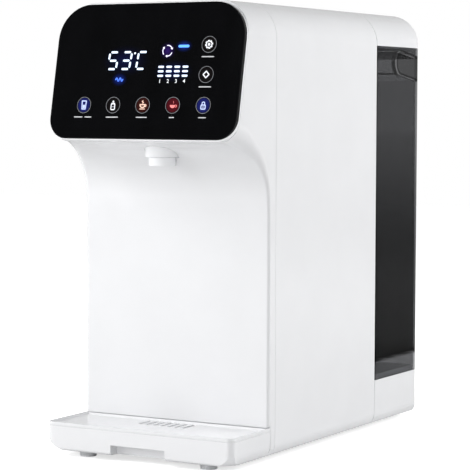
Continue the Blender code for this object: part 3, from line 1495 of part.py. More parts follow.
def make_heater():
    x, y = HEATER_SPOT.x, HEATER_SPOT.y
    ring_radius = HEATER_RADIUS + GAP + CLAMP_WALL
    post_rear = y - ring_radius + CLAMP_WALL / 3
    bracket = box(
        "heater_bracket",
        (x - HEATER_BASE_HALF, post_rear - POST_THICKNESS, WORKS_LOW),
        (x + HEATER_BASE_HALF, y + HEATER_BASE_HALF, WORKS_LOW + PLATE_THICKNESS),
    )
    join(bracket, box(
        "heater_post",
        (x - POST_HALF, post_rear - POST_THICKNESS, WORKS_LOW),
        (x + POST_HALF, post_rear, spot(0, 0, POST_TOP_SHARE).z),
    ))
    for number, share in enumerate(CLAMP_SHARES, 1):
        low = spot(0, 0, share).z
        join(bracket, cylinder(f"heater_clamp_{number}", (x, y), ring_radius, low, low + CLAMP_HEIGHT))
    cut(
        bracket,
        cylinder("heater_bore", (x, y), HEATER_RADIUS + GAP, HEATER_LOW - OVERRUN, HEATER_HIGH + OVERRUN),
        screw_hole("heater_screw_hole", SCREW_PLACES[-1], 0, WORKS_LOW + OVERRUN),
    )
    piece(bracket, "grey_plastic")
    heater = turned(
        "heater_body",
        [
            (0, HEATER_HIGH + BARB_LENGTH),
            (BARB_RADIUS, HEATER_HIGH + BARB_LENGTH),
            (BARB_RADIUS, HEATER_HIGH),
            (HEATER_RADIUS - HEATER_DOME, HEATER_HIGH),
            (HEATER_RADIUS, HEATER_HIGH - HEATER_DOME),
            (HEATER_RADIUS, HEATER_LOW + HEATER_DOME),
            (HEATER_RADIUS - HEATER_DOME, HEATER_LOW),
            (HEATER_NECK_RADIUS, HEATER_LOW),
            (HEATER_NECK_RADIUS, HEATER_LOW - HEATER_NECK),
            (0, HEATER_LOW - HEATER_NECK),
        ],
        (x, y, 0),
    )
    piece(heater, "aluminium")
    sensor = cylinder(
        "flow_sensor", (x, y), SENSOR_RADIUS, SENSOR_HIGH - SENSOR_HEIGHT, SENSOR_HIGH,
        steps=SMALL_ROUND_STEPS,
    )
    join(sensor, cylinder(
        "sensor_barb", (y, SENSOR_PORT_Z), BARB_RADIUS, SENSOR_PORT_X, x - SENSOR_RADIUS / 2, "X",
        SMALL_ROUND_STEPS,
    ))
    piece(sensor, "black_plastic")
    cutout_low = spot(0, 0, CUTOUT_SHARE).z
    cutout = box(
        "thermal_cutout",
        (x + HEATER_RADIUS + GAP, y - CUTOUT_SIZE[1] / 2, cutout_low),
        (x + HEATER_RADIUS + GAP + CUTOUT_SIZE[0], y + CUTOUT_SIZE[1] / 2, cutout_low + CUTOUT_SIZE[2]),
    )
    piece(rounded(cutout, CUTOUT_SIZE[0] / 6, 1), "black_plastic")


# Electronics: the control board on its carrier at the right-hand side, the power supply on the bulkhead
CARRIER_SHARES = ((0.505, 0.31), (0.9946, 0.72))
CARRIER_OFFSET = 0.007
CARRIER_THICKNESS = 0.0025
FLANGE_WIDTH = 0.022
BOARD_STANDOFF = 0.0025
BOARD_EDGE = 0.006
STANDOFF_HALF = 0.0025
CONNECTOR_SIZE = (0.006, 0.012, 0.010)
CHIP_PLACE_SHARES = ((0.35, 0.25), (0.62, 0.45), (0.40, 0.72))
CHIP_SIZES = ((0.012, 0.030), (0.018, 0.018), (0.008, 0.014))
CONNECTOR_UP_SHARE = 0.665
SUPPLY_SHARES = ((-0.06, 0.80, 0.17), (0.74, 0.9946, 0.29))
CARRIER_X = WORKS_HALF - CARRIER_OFFSET
CARRIER_INNER_X = CARRIER_X - CARRIER_THICKNESS
CONTROL_BOARD_X = CARRIER_INNER_X - BOARD_STANDOFF - GAP
CONNECTOR_LOW = spot(0, CARRIER_SHARES[0][0], CONNECTOR_UP_SHARE)


def make_electronics():
    low = spot(0, *CARRIER_SHARES[0])
    high = spot(0, *CARRIER_SHARES[1])
    rear = BULKHEAD_FRONT_Y - GAP
    carrier = box("board_carrier", (CARRIER_INNER_X, low.y, low.z), (CARRIER_X, rear, high.z))
    join(carrier, box(
        "carrier_flange",
        (CARRIER_X - FLANGE_WIDTH, rear - CARRIER_THICKNESS, low.z),
        (CARRIER_X, rear, high.z),
    ))
    board_low = Vector((CONTROL_BOARD_X - BOARD_THICKNESS, low.y + BOARD_EDGE, low.z + BOARD_EDGE))
    board_high = Vector((CONTROL_BOARD_X, rear - CARRIER_THICKNESS - BOARD_EDGE, high.z - BOARD_EDGE))
    for row in (0, 1):
        for column in (0, 1):
            y = (board_low.y, board_high.y)[row] + (1 - 2 * row) * BOARD_EDGE
            z = (board_low.z, board_high.z)[column] + (1 - 2 * column) * BOARD_EDGE
            join(carrier, box(
                f"standoff_{2 * row + column + 1}",
                (CONTROL_BOARD_X + GAP, y - STANDOFF_HALF, z - STANDOFF_HALF),
                (CARRIER_INNER_X + CARRIER_THICKNESS / 2, y + STANDOFF_HALF, z + STANDOFF_HALF),
            ))
    piece(carrier, "grey_plastic")
    board = box("control_board", board_low, board_high)
    span = board_high - board_low
    face = board_low.x + BOARD_THICKNESS / 2
    for number, ((along, up), (height, size)) in enumerate(zip(CHIP_PLACE_SHARES, CHIP_SIZES), 1):
        y, z = board_low.y + span.y * along, board_low.z + span.z * up
        join(board, box(
            f"board_part_{number}",
            (face - height, y - size / 2, z - size / 2),
            (face, y + size / 2, z + size / 2),
        ))
    connector_y = board_low.y + BOARD_EDGE
    join(board, box(
        "board_connector",
        (face - CONNECTOR_SIZE[0], connector_y, CONNECTOR_LOW.z),
        (face, connector_y + CONNECTOR_SIZE[1], CONNECTOR_LOW.z + CONNECTOR_SIZE[2]),
    ))
    piece(board, "board_green")
    supply = block("power_supply", *SUPPLY_SHARES)
    piece(rounded(supply, COIL_MARGIN, 1), "black_plastic")


# Hoses and cables, each routed through the works past a few places on its way
TANK_HOSE_SHARES = ((0.02, 0.77, 0.08), (0.06, 0.64, 0.15), (0.22, 0.52, 0.215))
PUMP_HOSE_SHARES = ((0.40, 0.42, 0.27), (0.18, 0.47, 0.40), (0.055, 0.62, 0.58))
CLEAN_HOSE_SHARES = ((0.20, 0.50, 0.68), (0.19, 0.34, 0.50), (0.12, 0.20, 0.30))
PANEL_CABLE_SHARES = ((0.32, 0.08, 0.84), (0.62, 0.34, 0.81))
POWER_CABLE_SHARES = ((-0.16, 0.955, 0.075),)
PORT_LOW = DOCK_TOP - GAP - DOCK_DECK - PORT_DEPTH
PORT_BARB_Z = PORT_LOW + BARB_RADIUS + GAP
PORT_BARB_Y = VALVE_Y - PORT_RADIUS + PIN_RADIUS - BARB_LENGTH
HOSE_LEAD = 0.010


def via(shares):
    return [spot(*place) for place in shares]


def make_hoses():
    lead = Vector((0, 0, HOSE_LEAD))
    side_lead = Vector((HOSE_LEAD, 0, 0))
    port_end = Vector((0, PORT_BARB_Y - GAP, PORT_BARB_Z))
    pump_inlet = Vector((PUMP_SPOT.x - PUMP_PORT_OFFSET, PUMP_PORT_Y, PUMP_PORT_TOP + GAP))
    pump_outlet = Vector((PUMP_SPOT.x + PUMP_PORT_OFFSET, PUMP_PORT_Y, PUMP_PORT_TOP + GAP))
    hole = Vector((0, REAR_SEAM_Y, HOSE_HOLE_Z))
    along = Vector((0, HOSE_LEAD, 0))
    tank_hose = tube(
        "tank_hose",
        (
            port_end, port_end - along * 0.6, hole + along * 0.7, hole - along * 0.5,
            *via(TANK_HOSE_SHARES), pump_inlet + lead, pump_inlet,
        ),
        HOSE_RADIUS,
    )
    piece(tank_hose, "silicone")
    head_inlet = Vector((HEAD_SIDE_X + BARB_LENGTH + GAP, FILTER_SPOTS["carbon_filter"].y, HEAD_PORT_Z))
    pump_hose = tube(
        "pump_hose",
        (
            pump_outlet, pump_outlet + lead, *via(PUMP_HOSE_SHARES),
            head_inlet + side_lead * 2.2 - lead, head_inlet + side_lead, head_inlet,
        ),
        HOSE_RADIUS,
    )
    piece(pump_hose, "silicone")
    valve_outlet = Vector((SOLENOID_HIGH_X + BARB_LENGTH + GAP, FILTER_MIDDLE.y, HEAD_PORT_Z))
    sensor_inlet = Vector((SENSOR_PORT_X - GAP, HEATER_SPOT.y, SENSOR_PORT_Z))
    clean_hose = tube(
        "clean_hose",
        (
            valve_outlet, valve_outlet + side_lead, valve_outlet + side_lead * 1.8 - lead,
            *via(CLEAN_HOSE_SHARES),
            sensor_inlet - side_lead * 2 + lead, sensor_inlet - side_lead, sensor_inlet,
        ),
        HOSE_RADIUS,
    )
    piece(clean_hose, "silicone")
    heater_outlet = Vector((HEATER_SPOT.x, HEATER_SPOT.y, HEATER_HIGH + BARB_LENGTH + GAP))
    spout_inlet = Vector((0, SPOUT_Y, SPOUT_TOP + BARB_LENGTH + GAP))
    middle = (heater_outlet + spout_inlet) / 2 + lead * 4
    hot_hose = tube(
        "hot_hose",
        (
            heater_outlet, heater_outlet + lead * 2, middle, spout_inlet.lerp(middle, 0.25) + lead * 2,
            spout_inlet + lead * 1.6, spout_inlet,
        ),
        HOSE_RADIUS,
    )
    piece(hot_hose, "silicone")
    plug = PANEL_FRAME @ Vector((
        BOARD_PLUG[0] / 3,
        WINDOW_LOW + BOARD_PLUG_LOW + BOARD_PLUG[1] / 2,
        -PANEL_STACK - BOARD_THICKNESS - BOARD_PLUG_HEIGHT - GAP,
    ))
    inward = PANEL_FRAME.to_3x3() @ Vector((0, 0, -1))
    connector = Vector((
        CONTROL_BOARD_X - BOARD_THICKNESS / 2 - CONNECTOR_SIZE[0] / 2,
        CONNECTOR_LOW.y + 2 * BOARD_EDGE - GAP,
        CONNECTOR_LOW.z + CONNECTOR_SIZE[2] / 2,
    ))
    panel_cable = tube(
        "panel_cable",
        (
            plug, plug + inward * 1.5 * HOSE_LEAD, *via(PANEL_CABLE_SHARES),
            connector - along * 2 + lead, connector - along, connector,
        ),
        WIRE_RADIUS,
    )
    piece(panel_cable, "black_plastic")
    inlet = Vector((INLET_X, REAR_Y - INLET_DEPTH - GAP, INLET_Z))
    cable_hole = Vector((CABLE_HOLE_X, REAR_SEAM_Y, HOSE_HOLE_Z))
    supply_low = spot(*SUPPLY_SHARES[0])
    supply_end = Vector((
        supply_low.x + 2 * HOSE_LEAD,
        (supply_low.y + BULKHEAD_FRONT_Y) / 2,
        supply_low.z - GAP,
    ))
    power_cable = tube(
        "power_cable",
        (
            inlet, inlet - along, cable_hole + along * 2, cable_hole, cable_hole - along * 0.8,
            *via(POWER_CABLE_SHARES), supply_end - lead, supply_end,
        ),
        WIRE_RADIUS,
    )
    piece(power_cable, "black_plastic")


make_front_housing()
make_panel()
make_display_board()
make_spout()
make_middle_shell()
make_chassis()
make_feet()
make_screws()
make_bulkhead()
make_dock()
make_dock_port()
make_power_inlet()
make_tank()
make_tank_valve()
make_lid()
make_tray()
make_drip_plate()
make_filters()
make_solenoid()
make_pump()
make_heater()
make_electronics()
make_hoses()
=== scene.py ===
"""Countertop water purifier: finishes, the lit display and the studio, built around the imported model.

Metres, +Z up. The front faces -Y and the right side, seen from the front, is +X.
"""

import json
import math

import bmesh
import bpy
import numpy as np
from mathutils import Matrix, Vector


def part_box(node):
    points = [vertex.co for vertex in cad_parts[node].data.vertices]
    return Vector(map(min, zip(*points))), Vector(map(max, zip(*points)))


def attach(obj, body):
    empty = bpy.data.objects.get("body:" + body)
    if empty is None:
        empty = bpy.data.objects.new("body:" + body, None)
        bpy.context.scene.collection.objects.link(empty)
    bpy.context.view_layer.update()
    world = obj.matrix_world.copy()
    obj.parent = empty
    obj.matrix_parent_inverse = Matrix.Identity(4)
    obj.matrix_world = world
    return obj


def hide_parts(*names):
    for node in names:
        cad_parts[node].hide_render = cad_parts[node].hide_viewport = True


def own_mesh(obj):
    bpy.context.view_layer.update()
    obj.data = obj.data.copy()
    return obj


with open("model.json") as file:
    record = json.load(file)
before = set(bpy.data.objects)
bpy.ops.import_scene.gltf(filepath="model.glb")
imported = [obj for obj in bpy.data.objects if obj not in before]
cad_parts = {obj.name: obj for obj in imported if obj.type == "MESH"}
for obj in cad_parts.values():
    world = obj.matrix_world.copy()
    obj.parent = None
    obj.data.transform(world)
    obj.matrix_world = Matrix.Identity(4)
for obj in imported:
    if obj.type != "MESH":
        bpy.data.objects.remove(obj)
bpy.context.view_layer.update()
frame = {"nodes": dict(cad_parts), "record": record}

bl_info = {
    "name": "Countertop Water Purifier",
    "version": (1, 0, 0),
    "blender": (4, 5, 0),
    "location": "View3D > Sidebar > Purifier",
    "description": "Dresses a countertop water purifier: shells, smoked tank, lit touch panel and studio",
    "category": "Object",
}

# The panel's plane, from the glass itself: x to the right, y up the slope, z out of the glass
GLASS_LOW, GLASS_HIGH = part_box("glass_panel")
PANEL_TILT = math.radians(11.2)
GLASS_THICKNESS = 0.003
PANEL_ORIGIN = np.array((0.0, GLASS_LOW.y, GLASS_LOW.z + GLASS_THICKNESS * math.sin(PANEL_TILT)))
PANEL_AXES = np.array((
    (1.0, 0.0, 0.0),
    (0.0, math.sin(PANEL_TILT), math.cos(PANEL_TILT)),
    (0.0, -math.cos(PANEL_TILT), math.sin(PANEL_TILT)),
))

HOSES = ("tank_hose", "pump_hose", "clean_hose", "hot_hose")
CABLES = ("panel_cable", "power_cable")
# The nodes that take their finish from each slot of the record
NODE_FINISHES = {
    "white": (
        "front_housing", "spout_arm", "nozzle", "middle_shell", "rear_dock", "tank_lid", "drip_tray",
        "drip_plate",
    ),
    "black_glass": ("glass_panel",),
    "smoke": ("water_tank",),
    "grey_plastic": (
        "base_chassis", "rear_bulkhead", "dock_port", "filter_cradle", "filter_head", "pump_bracket",
        "heater_bracket", "board_carrier",
    ),
    "black_plastic": (
        "panel_backing", "power_inlet", "solenoid_coil", "pump_head", "flow_sensor", "thermal_cutout",
        "power_supply", *CABLES,
    ),
    "filter_white": ("valve_body", "valve_poppet", "valve_cap", "carbon_filter", "solenoid_valve"),
    "filter_blue": ("membrane_filter",),
    "steel": ("valve_spring", "pump_motor", *(f"base_screw_{number}" for number in range(1, 6))),
    "aluminium": ("heater_body",),
    "rubber": ("foot_front_left", "foot_front_right", "foot_rear_left", "foot_rear_right"),
    "silicone": ("valve_seal", *HOSES),
    "board_green": ("display_board", "control_board"),
}
# The spout's parts and the plate get a lighter copy of the shell white, painted light that lifts them in the
# shade they sit in; the lip round the glass and the plate's edge get it too
SPOUT_NODES = {"spout_arm", "nozzle", "drip_plate"}
SPOUT_PAINTED_LIGHT = 1.17
# Round, thin and close-set nodes, whose edges get no fine rounding
UNSOFTENED = {"valve_spring", "valve_seal", "valve_cap", "valve_poppet", *HOSES, *CABLES}


class PurifierSizes(bpy.types.PropertyGroup):
    """Sizes of what is drawn on the part"""

    edge_softness: bpy.props.FloatProperty(
        name="Edge softness", description="Width of the fine rounding on moulded edges",
        default=0.0006, min=0.0, unit="LENGTH",
    )
    mark_rise: bpy.props.FloatProperty(
        name="Mark rise", description="How far the display's marks stand out of the glass",
        default=0.00016, min=0.00005, unit="LENGTH",
    )
    digit_half_width: bpy.props.FloatProperty(
        name="Digit half width", description="From a digit's middle to its upright strokes",
        default=0.0044, min=0.001, unit="LENGTH",
    )
    digit_half_height: bpy.props.FloatProperty(
        name="Digit half height", description="From a digit's middle to its top and bottom strokes",
        default=0.0074, min=0.001, unit="LENGTH",
    )
    digit_slant: bpy.props.FloatProperty(
        name="Digit slant", description="How far the digits lean to the right",
        default=math.radians(5.6), unit="ROTATION",
    )
    stroke_half_width: bpy.props.FloatProperty(
        name="Stroke half width", description="Half the width of a digit's strokes",
        default=0.00100, min=0.0001, unit="LENGTH",
    )
    key_radius: bpy.props.FloatProperty(
        name="Key radius", description="Radius of the ring round each touch key",
        default=0.0070, min=0.001, unit="LENGTH",
    )
    key_spacing: bpy.props.FloatProperty(
        name="Key spacing", description="Distance between the keys of the lower row",
        default=0.0302, min=0.001, unit="LENGTH",
    )


class PurifierColours(bpy.types.PropertyGroup):
    """Colours of the finishes and of the display's light"""

    shell: bpy.props.FloatVectorProperty(
        name="Shell", description="The white moulded shells", subtype="COLOR", size=3,
        default=(0.80, 0.805, 0.82), min=0.0, max=1.0,
    )
    tank: bpy.props.FloatVectorProperty(
        name="Tank", description="Tint of the smoked tank", subtype="COLOR", size=3,
        default=(0.275, 0.278, 0.286), min=0.0, max=1.0,
    )
    glass: bpy.props.FloatVectorProperty(
        name="Panel glass", description="The black touch panel", subtype="COLOR", size=3,
        default=(0.0021, 0.0022, 0.0026), min=0.0, max=1.0,
    )
    lit_white: bpy.props.FloatVectorProperty(
        name="Lit white", description="The display's white light", subtype="COLOR", size=3,
        default=(0.93, 0.97, 1.0), min=0.0, max=1.0,
    )
    lit_blue: bpy.props.FloatVectorProperty(
        name="Lit blue", description="The display's blue light", subtype="COLOR", size=3,
        default=(0.03, 0.10, 0.95), min=0.0, max=1.0,
    )
    lit_red: bpy.props.FloatVectorProperty(
        name="Lit red", description="The red light behind the hot drinks", subtype="COLOR", size=3,
        default=(0.90, 0.06, 0.09), min=0.0, max=1.0,
    )
    lit_amber: bpy.props.FloatVectorProperty(
        name="Lit amber", description="The warm light behind the coffee key", subtype="COLOR", size=3,
        default=(0.95, 0.35, 0.16), min=0.0, max=1.0,
    )
    print_grey: bpy.props.FloatVectorProperty(
        name="Print grey", description="The printed rings round the keys", subtype="COLOR", size=3,
        default=(0.27, 0.28, 0.30), min=0.0, max=1.0,
    )


class PurifierStudio(bpy.types.PropertyGroup):
    """The studio's light"""

    surround: bpy.props.FloatProperty(
        name="Surround", description="Brightness of the studio's walls", default=0.55, min=0.0,
    )
    left_lamp: bpy.props.FloatProperty(
        name="Left lamp", description="Power of the soft lamp at the front left, in watts", default=40.0,
        min=0.0,
    )
    low_lamp: bpy.props.FloatProperty(
        name="Low lamp", description="Power of the low lamp before the niche, in watts", default=5.0, min=0.0,
    )
    right_lamp: bpy.props.FloatProperty(
        name="Right lamp", description="Power of the soft lamp at the right, in watts", default=30.0, min=0.0,
    )


# Materials

# The range in which noise mostly lies
NOISE_RANGE = (0.3, 0.7)
# A finish's mottling and uneven gloss: their noise scales, and the share by which the gloss strays
MOTTLE_SCALE = 22.0
GLOSS_SCALE = 140.0
UNEVENNESS = 0.08
GRAIN_STRENGTH = 0.5


def set_inputs(tree, node, inputs):
    """Set a node's inputs to values, or link them to the sockets given instead."""
    for key, value in inputs.items():
        if isinstance(value, bpy.types.NodeSocket):
            tree.links.new(value, node.inputs[key])
        else:
            node.inputs[key].default_value = value


def add_node(tree, kind, inputs=None, **settings):
    """A shader node with its settings and its inputs."""
    made = tree.nodes.new(kind)
    for key, value in settings.items():
        setattr(made, key, value)
    set_inputs(tree, made, inputs or {})
    return made


def new_material(name, **constants):
    """A material with one Principled shader, whose constants are set on its own sockets."""
    material = bpy.data.materials.new(name)
    material.use_nodes = True
    shader = material.node_tree.nodes["Principled BSDF"]
    set_inputs(material.node_tree, shader, {key.replace("_", " "): value for key, value in constants.items()})
    return material, material.node_tree, shader


def calculate(tree, operation, *values):
    return add_node(tree, "ShaderNodeMath", dict(enumerate(values)), operation=operation).outputs["Value"]


def remap(tree, value, start_range, end_range, **settings):
    """A value taken from one range to another."""
    inputs = dict(zip(("From Min", "From Max", "To Min", "To Max"), (*start_range, *end_range)), Value=value)
    return add_node(tree, "ShaderNodeMapRange", inputs, **settings).outputs["Result"]


def mix(tree, factor, first, second, blend="MIX"):
    """A mix of two colours, each of three values or a socket."""
    ends = [end if isinstance(end, bpy.types.NodeSocket) else (*end, 1.0) for end in (first, second)]
    inputs = {0: factor, 6: ends[0], 7: ends[1]}
    return add_node(tree, "ShaderNodeMix", inputs, data_type="RGBA", blend_type=blend).outputs[2]


def ramp(tree, factor, stops):
    """A colour by a factor, from stops that each have a position and a colour."""
    made = add_node(tree, "ShaderNodeValToRGB", {"Fac": factor})
    elements = made.color_ramp.elements
    for index, (position, colour) in enumerate((stops[0], stops[-1])):
        elements[index].position = position
        elements[index].color = (*colour, 1.0)
    for position, colour in stops[1:-1]:
        elements.new(position).color = (*colour, 1.0)
    return made.outputs["Color"]


def bump(tree, height, strength, depth):
    inputs = {"Height": height, "Strength": strength, "Distance": depth}
    return add_node(tree, "ShaderNodeBump", inputs).outputs["Normal"]


def object_place(tree):
    return add_node(tree, "ShaderNodeTexCoord").outputs["Object"]


def local_place(tree, location, turn, scale=(1, 1, 1)):
    """Object coordinates in a frame with its own place, turn about x and scale."""
    inputs = {"Vector": object_place(tree), "Location": location, "Rotation": (turn, 0, 0), "Scale": scale}
    return add_node(tree, "ShaderNodeMapping", inputs, vector_type="TEXTURE").outputs["Vector"]


def separate(tree, vector):
    return add_node(tree, "ShaderNodeSeparateXYZ", {"Vector": vector}).outputs


def object_noise(tree, scale, detail=3.0, stretch=None):
    """Noise on Object coordinates, drawn out along an axis where a stretch is given."""
    place = object_place(tree)
    if stretch:
        place = add_node(tree, "ShaderNodeMapping", {"Vector": place, "Scale": stretch}).outputs["Vector"]
    inputs = {"Vector": place, "Scale": scale, "Detail": detail}
    return add_node(tree, "ShaderNodeTexNoise", inputs).outputs["Fac"]


def between(tree, noise, low, high):
    return remap(tree, noise, NOISE_RANGE, (low, high), clamp=False)


def shades(tree, noise, dark, light):
    return ramp(tree, noise, ((NOISE_RANGE[0], dark), (NOISE_RANGE[1], light)))


def toned(colour, factor):
    return tuple(min(1.0, value * factor) for value in colour)


def moulded(name, colour, roughness, grain, depth, mottle, stretch=None, **constants):
    """A moulded finish: faint mottling in the colour, uneven gloss and a fine grain of a given size."""
    material, tree, shader = new_material(name, **constants)
    broad = object_noise(tree, MOTTLE_SCALE, detail=4.0)
    uneven = object_noise(tree, GLOSS_SCALE, stretch=stretch)
    fine = object_noise(tree, 1.0 / grain, detail=2.0, stretch=stretch)
    set_inputs(tree, shader, {
        "Base Color": shades(tree, broad, toned(colour, 1 - mottle), toned(colour, 1 + mottle)),
        "Roughness": between(tree, uneven, roughness * (1 - UNEVENNESS), roughness * (1 + UNEVENNESS)),
        "Normal": bump(tree, fine, GRAIN_STRENGTH, depth),
    })
    return material


def white_plastic(name, colour):
    """Glossy white plastic: hardly any grain, a clear skin over the colour."""
    return moulded(
        name, colour, roughness=0.22, grain=0.0011, depth=0.000012, mottle=0.012,
        IOR=1.49, Coat_Weight=0.25, Coat_Roughness=0.08,
    )


# How light the tank's tint is at shares of its height: skirt, dark line, water, water line and top. Below the
# water line it stands for the water and is painted shade as well, darker towards the bottom
TANK_PAINTED_SHADES = (
    (0.0, 1.25), (0.052, 1.25), (0.056, 0.03), (0.067, 0.03), (0.071, 0.23), (0.107, 0.30), (0.23, 0.36),
    (0.38, 0.44), (0.535, 0.60), (0.69, 0.84), (0.735, 0.89), (0.742, 0.97), (1.0, 1.0),
)
# How near its front and back painted shade darkens the tank's tint, and how dark it gets there
TANK_EDGE = 0.003
TANK_EDGE_PAINTED_SHADE = 0.5
# How far from its middle the tank's sides start
TANK_SIDE = 0.0885
# The finger channel in the tank's back: its middle line slopes down to the back from a round end
GRIP_FROM_BACK = 0.040
GRIP_BELOW_TOP = 0.0148
GRIP_RADIUS = 0.0100
GRIP_SLOPE = math.radians(8)
# Painted shade round the channel: how light the tint is by the distance from that line, as shares of the
# channel's width
GRIP_PAINTED_SHADES = ((0.0, 0.26), (0.49, 0.26), (0.50, 0.05), (0.60, 0.05), (0.62, 1.0))


def grip_painted_shade(tree, high):
    """Painted shade on the tank's sides: how light the tint is by the distance from the finger channel's
    middle line.
    """
    end = (0.0, high.y - GRIP_FROM_BACK, high.z - GRIP_BELOW_TOP)
    parts = separate(tree, local_place(tree, end, -GRIP_SLOPE))
    before_end = calculate(tree, "MINIMUM", parts["Y"], 0.0)
    off_line = add_node(tree, "ShaderNodeCombineXYZ", {"Y": before_end, "Z": parts["Z"]}).outputs["Vector"]
    distance = add_node(tree, "ShaderNodeVectorMath", {0: off_line}, operation="LENGTH").outputs["Value"]
    reach = calculate(tree, "DIVIDE", distance, GRIP_RADIUS * 2)
    shade = ramp(tree, reach, [(position, (light, light, light)) for position, light in GRIP_PAINTED_SHADES])
    at_side = calculate(tree, "GREATER_THAN", calculate(tree, "ABSOLUTE", parts["X"]), TANK_SIDE)
    return mix(tree, at_side, (1, 1, 1), shade)


def smoked_plastic(colour):
    """Smoked clear plastic that lets a little light through, darker below the water line for the water and as
    painted shade, with painted shade round the finger channel and near its front and back.
    """
    material, tree, shader = new_material(
        "tank_smoke", IOR=1.07, Transmission_Weight=0.95, Specular_IOR_Level=0.05
    )
    low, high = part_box("water_tank")
    parts = separate(tree, object_place(tree))
    along = remap(tree, parts["Z"], (low.z, high.z), (0.0, 1.0), clamp=False)
    # Painted shade: the tint by height, darker towards the bottom below the water line
    water_tint_and_shade = ramp(tree, along, [(position, toned(colour, light)) for position, light in TANK_PAINTED_SHADES])
    middle, half = (low.y + high.y) / 2, (high.y - low.y) / 2
    aside = calculate(tree, "ABSOLUTE", calculate(tree, "SUBTRACT", parts["Y"], middle))
    # Painted shade near the tank's front and back
    edges = remap(tree, aside, (half - TANK_EDGE, half - TANK_EDGE / 2), (1.0, TANK_EDGE_PAINTED_SHADE))
    # Painted shade round the finger channel, times the painted shade near the front and back
    shade = calculate(tree, "MULTIPLY", edges, grip_painted_shade(tree, high))
    set_inputs(tree, shader, {
        "Base Color": mix(tree, shade, (0, 0, 0), water_tint_and_shade),
        "Roughness": between(tree, object_noise(tree, scale=90.0), low=0.03, high=0.07),
        "Normal": bump(tree, object_noise(tree, scale=60.0, detail=2.0), strength=0.4, depth=0.00005),
    })
    return material


# Places in the panel's plane: x from its middle to the right, y up from its lower edge
DIGITS_MIDDLE_Y = 0.0686
CYCLE_PLACE = (0.0199, 0.0768)
WORKING_PLACE = (0.0358, 0.0807)
LAMP_PLACE = (-0.0262, 0.0519)
VIOLET = (0.20, 0.06, 0.95)
# Light that spreads round the marks: its middle, its reach aside and up, its colour and its strength
HALOS = (
    ((-0.0215, DIGITS_MIDDLE_Y), (0.026, 0.015), "lit_blue", 0.05),
    ((0.0275, 0.0590), (0.021, 0.011), "lit_blue", 0.06),
    (WORKING_PLACE, (0.0090, 0.0058), "lit_blue", 0.35),
    (CYCLE_PLACE, (0.0085, 0.0085), VIOLET, 0.15),
    (LAMP_PLACE, (0.0085, 0.0065), "lit_blue", 0.30),
)
HALO_POWER = 1.8


def named_colour(colours, colour):
    """A colour, or the one that the add-on keeps under a name."""
    return tuple(getattr(colours, colour)) if isinstance(colour, str) else colour


def halo(tree, middle, reach, colour, strength):
    """Light in the glass round a mark, from full at its middle to none at its reach."""
    centre = tuple(PANEL_ORIGIN + np.array((*middle, 0.0)) @ PANEL_AXES)
    inputs = {"Vector": local_place(tree, centre, math.radians(90) - PANEL_TILT, (*reach, reach[0]))}
    fade = add_node(tree, "ShaderNodeTexGradient", inputs, gradient_type="SPHERICAL").outputs["Fac"]
    level = calculate(tree, "MULTIPLY", calculate(tree, "POWER", fade, HALO_POWER), strength)
    return mix(tree, level, (0, 0, 0), colour)


def panel_glass(colours):
    """Black glass over the display, with the light of the marks spreading in it and faint smears."""
    material, tree, shader = new_material(
        "panel_glass", IOR=1.5, Specular_IOR_Level=0.25, Emission_Strength=1.0
    )
    glow = None
    for middle, reach, light, strength in HALOS:
        made = halo(tree, middle, reach, named_colour(colours, light), strength)
        glow = made if glow is None else mix(tree, 1.0, glow, made, "ADD")
    smear = object_noise(tree, scale=45.0, detail=5.0, stretch=(1.0, 1.0, 0.35))
    base = tuple(colours.glass)
    set_inputs(tree, shader, {
        "Base Color": shades(tree, smear, base, toned(base, 1.5)),
        "Roughness": between(tree, smear, low=0.03, high=0.10),
        "Emission Color": glow,
    })
    return material


COPPER = (0.55, 0.45, 0.20)
# Distances from the middle of a board's cell at which its track starts, and of a via at which it ends
TRACK_START = 0.55
VIA_END = 0.16


def cells(tree, scale, randomness, **settings):
    """The distance to the nearest of points strewn through space."""
    inputs = {"Vector": object_place(tree), "Scale": scale, "Randomness": randomness}
    return add_node(tree, "ShaderNodeTexVoronoi", inputs, feature="F1", **settings).outputs["Distance"]


def circuit_board(colour):
    """A printed board: copper tracks as the borders of square cells under a green mask, with small vias."""
    material, tree, shader = new_material("board_green", Specular_IOR_Level=0.5)
    squares = cells(tree, scale=160.0, randomness=0.6, distance="CHEBYCHEV")
    tracks = calculate(tree, "GREATER_THAN", squares, TRACK_START)
    vias = calculate(tree, "LESS_THAN", cells(tree, scale=420.0, randomness=0.9), VIA_END)
    masked = mix(tree, tracks, colour, toned(colour, 2.0))
    set_inputs(tree, shader, {
        "Base Color": mix(tree, vias, masked, COPPER),
        "Roughness": between(tree, object_noise(tree, scale=200.0), low=0.32, high=0.48),
        "Normal": bump(tree, tracks, strength=0.5, depth=0.00004),
    })
    return material


# Lit marks by their material: the colour in a stroke's middle, the colour at its edge, and the strength
LIT_MARKS = {
    "digit_light": ("lit_white", (0.35, 0.60, 0.95), 1.25),
    "gauge_light": ("lit_white", (0.30, 0.50, 0.95), 1.2),
    "cycle_light": ("lit_white", (0.42, 0.22, 0.98), 1.2),
    "working_light": ((0.16, 0.50, 1.0), "lit_blue", 1.15),
    "lamp_light": ((0.10, 0.25, 1.0), "lit_blue", 1.1),
    "key_blue": ((0.66, 0.75, 1.0), (0.20, 0.30, 0.98), 0.85),
    "key_white": ((0.95, 0.96, 1.0), (0.55, 0.57, 0.65), 0.95),
    "key_amber": ((1.0, 0.74, 0.62), "lit_amber", 0.85),
    "key_red": ((1.0, 0.30, 0.30), "lit_red", 0.9),
    "key_back_blue": ((0.008, 0.011, 0.100), (0.005, 0.007, 0.055), 1.0),
    "key_back_white": ((0.005, 0.004, 0.004), (0.003, 0.002, 0.002), 1.0),
    "key_back_amber": ((0.030, 0.006, 0.005), (0.016, 0.004, 0.003), 1.0),
    "key_back_red": ((0.062, 0.004, 0.008), (0.030, 0.003, 0.005), 1.0),
}


# Core values at which a mark has the colour of its edge and that of its middle
CORE_SPREAD = (0.08, 0.62)


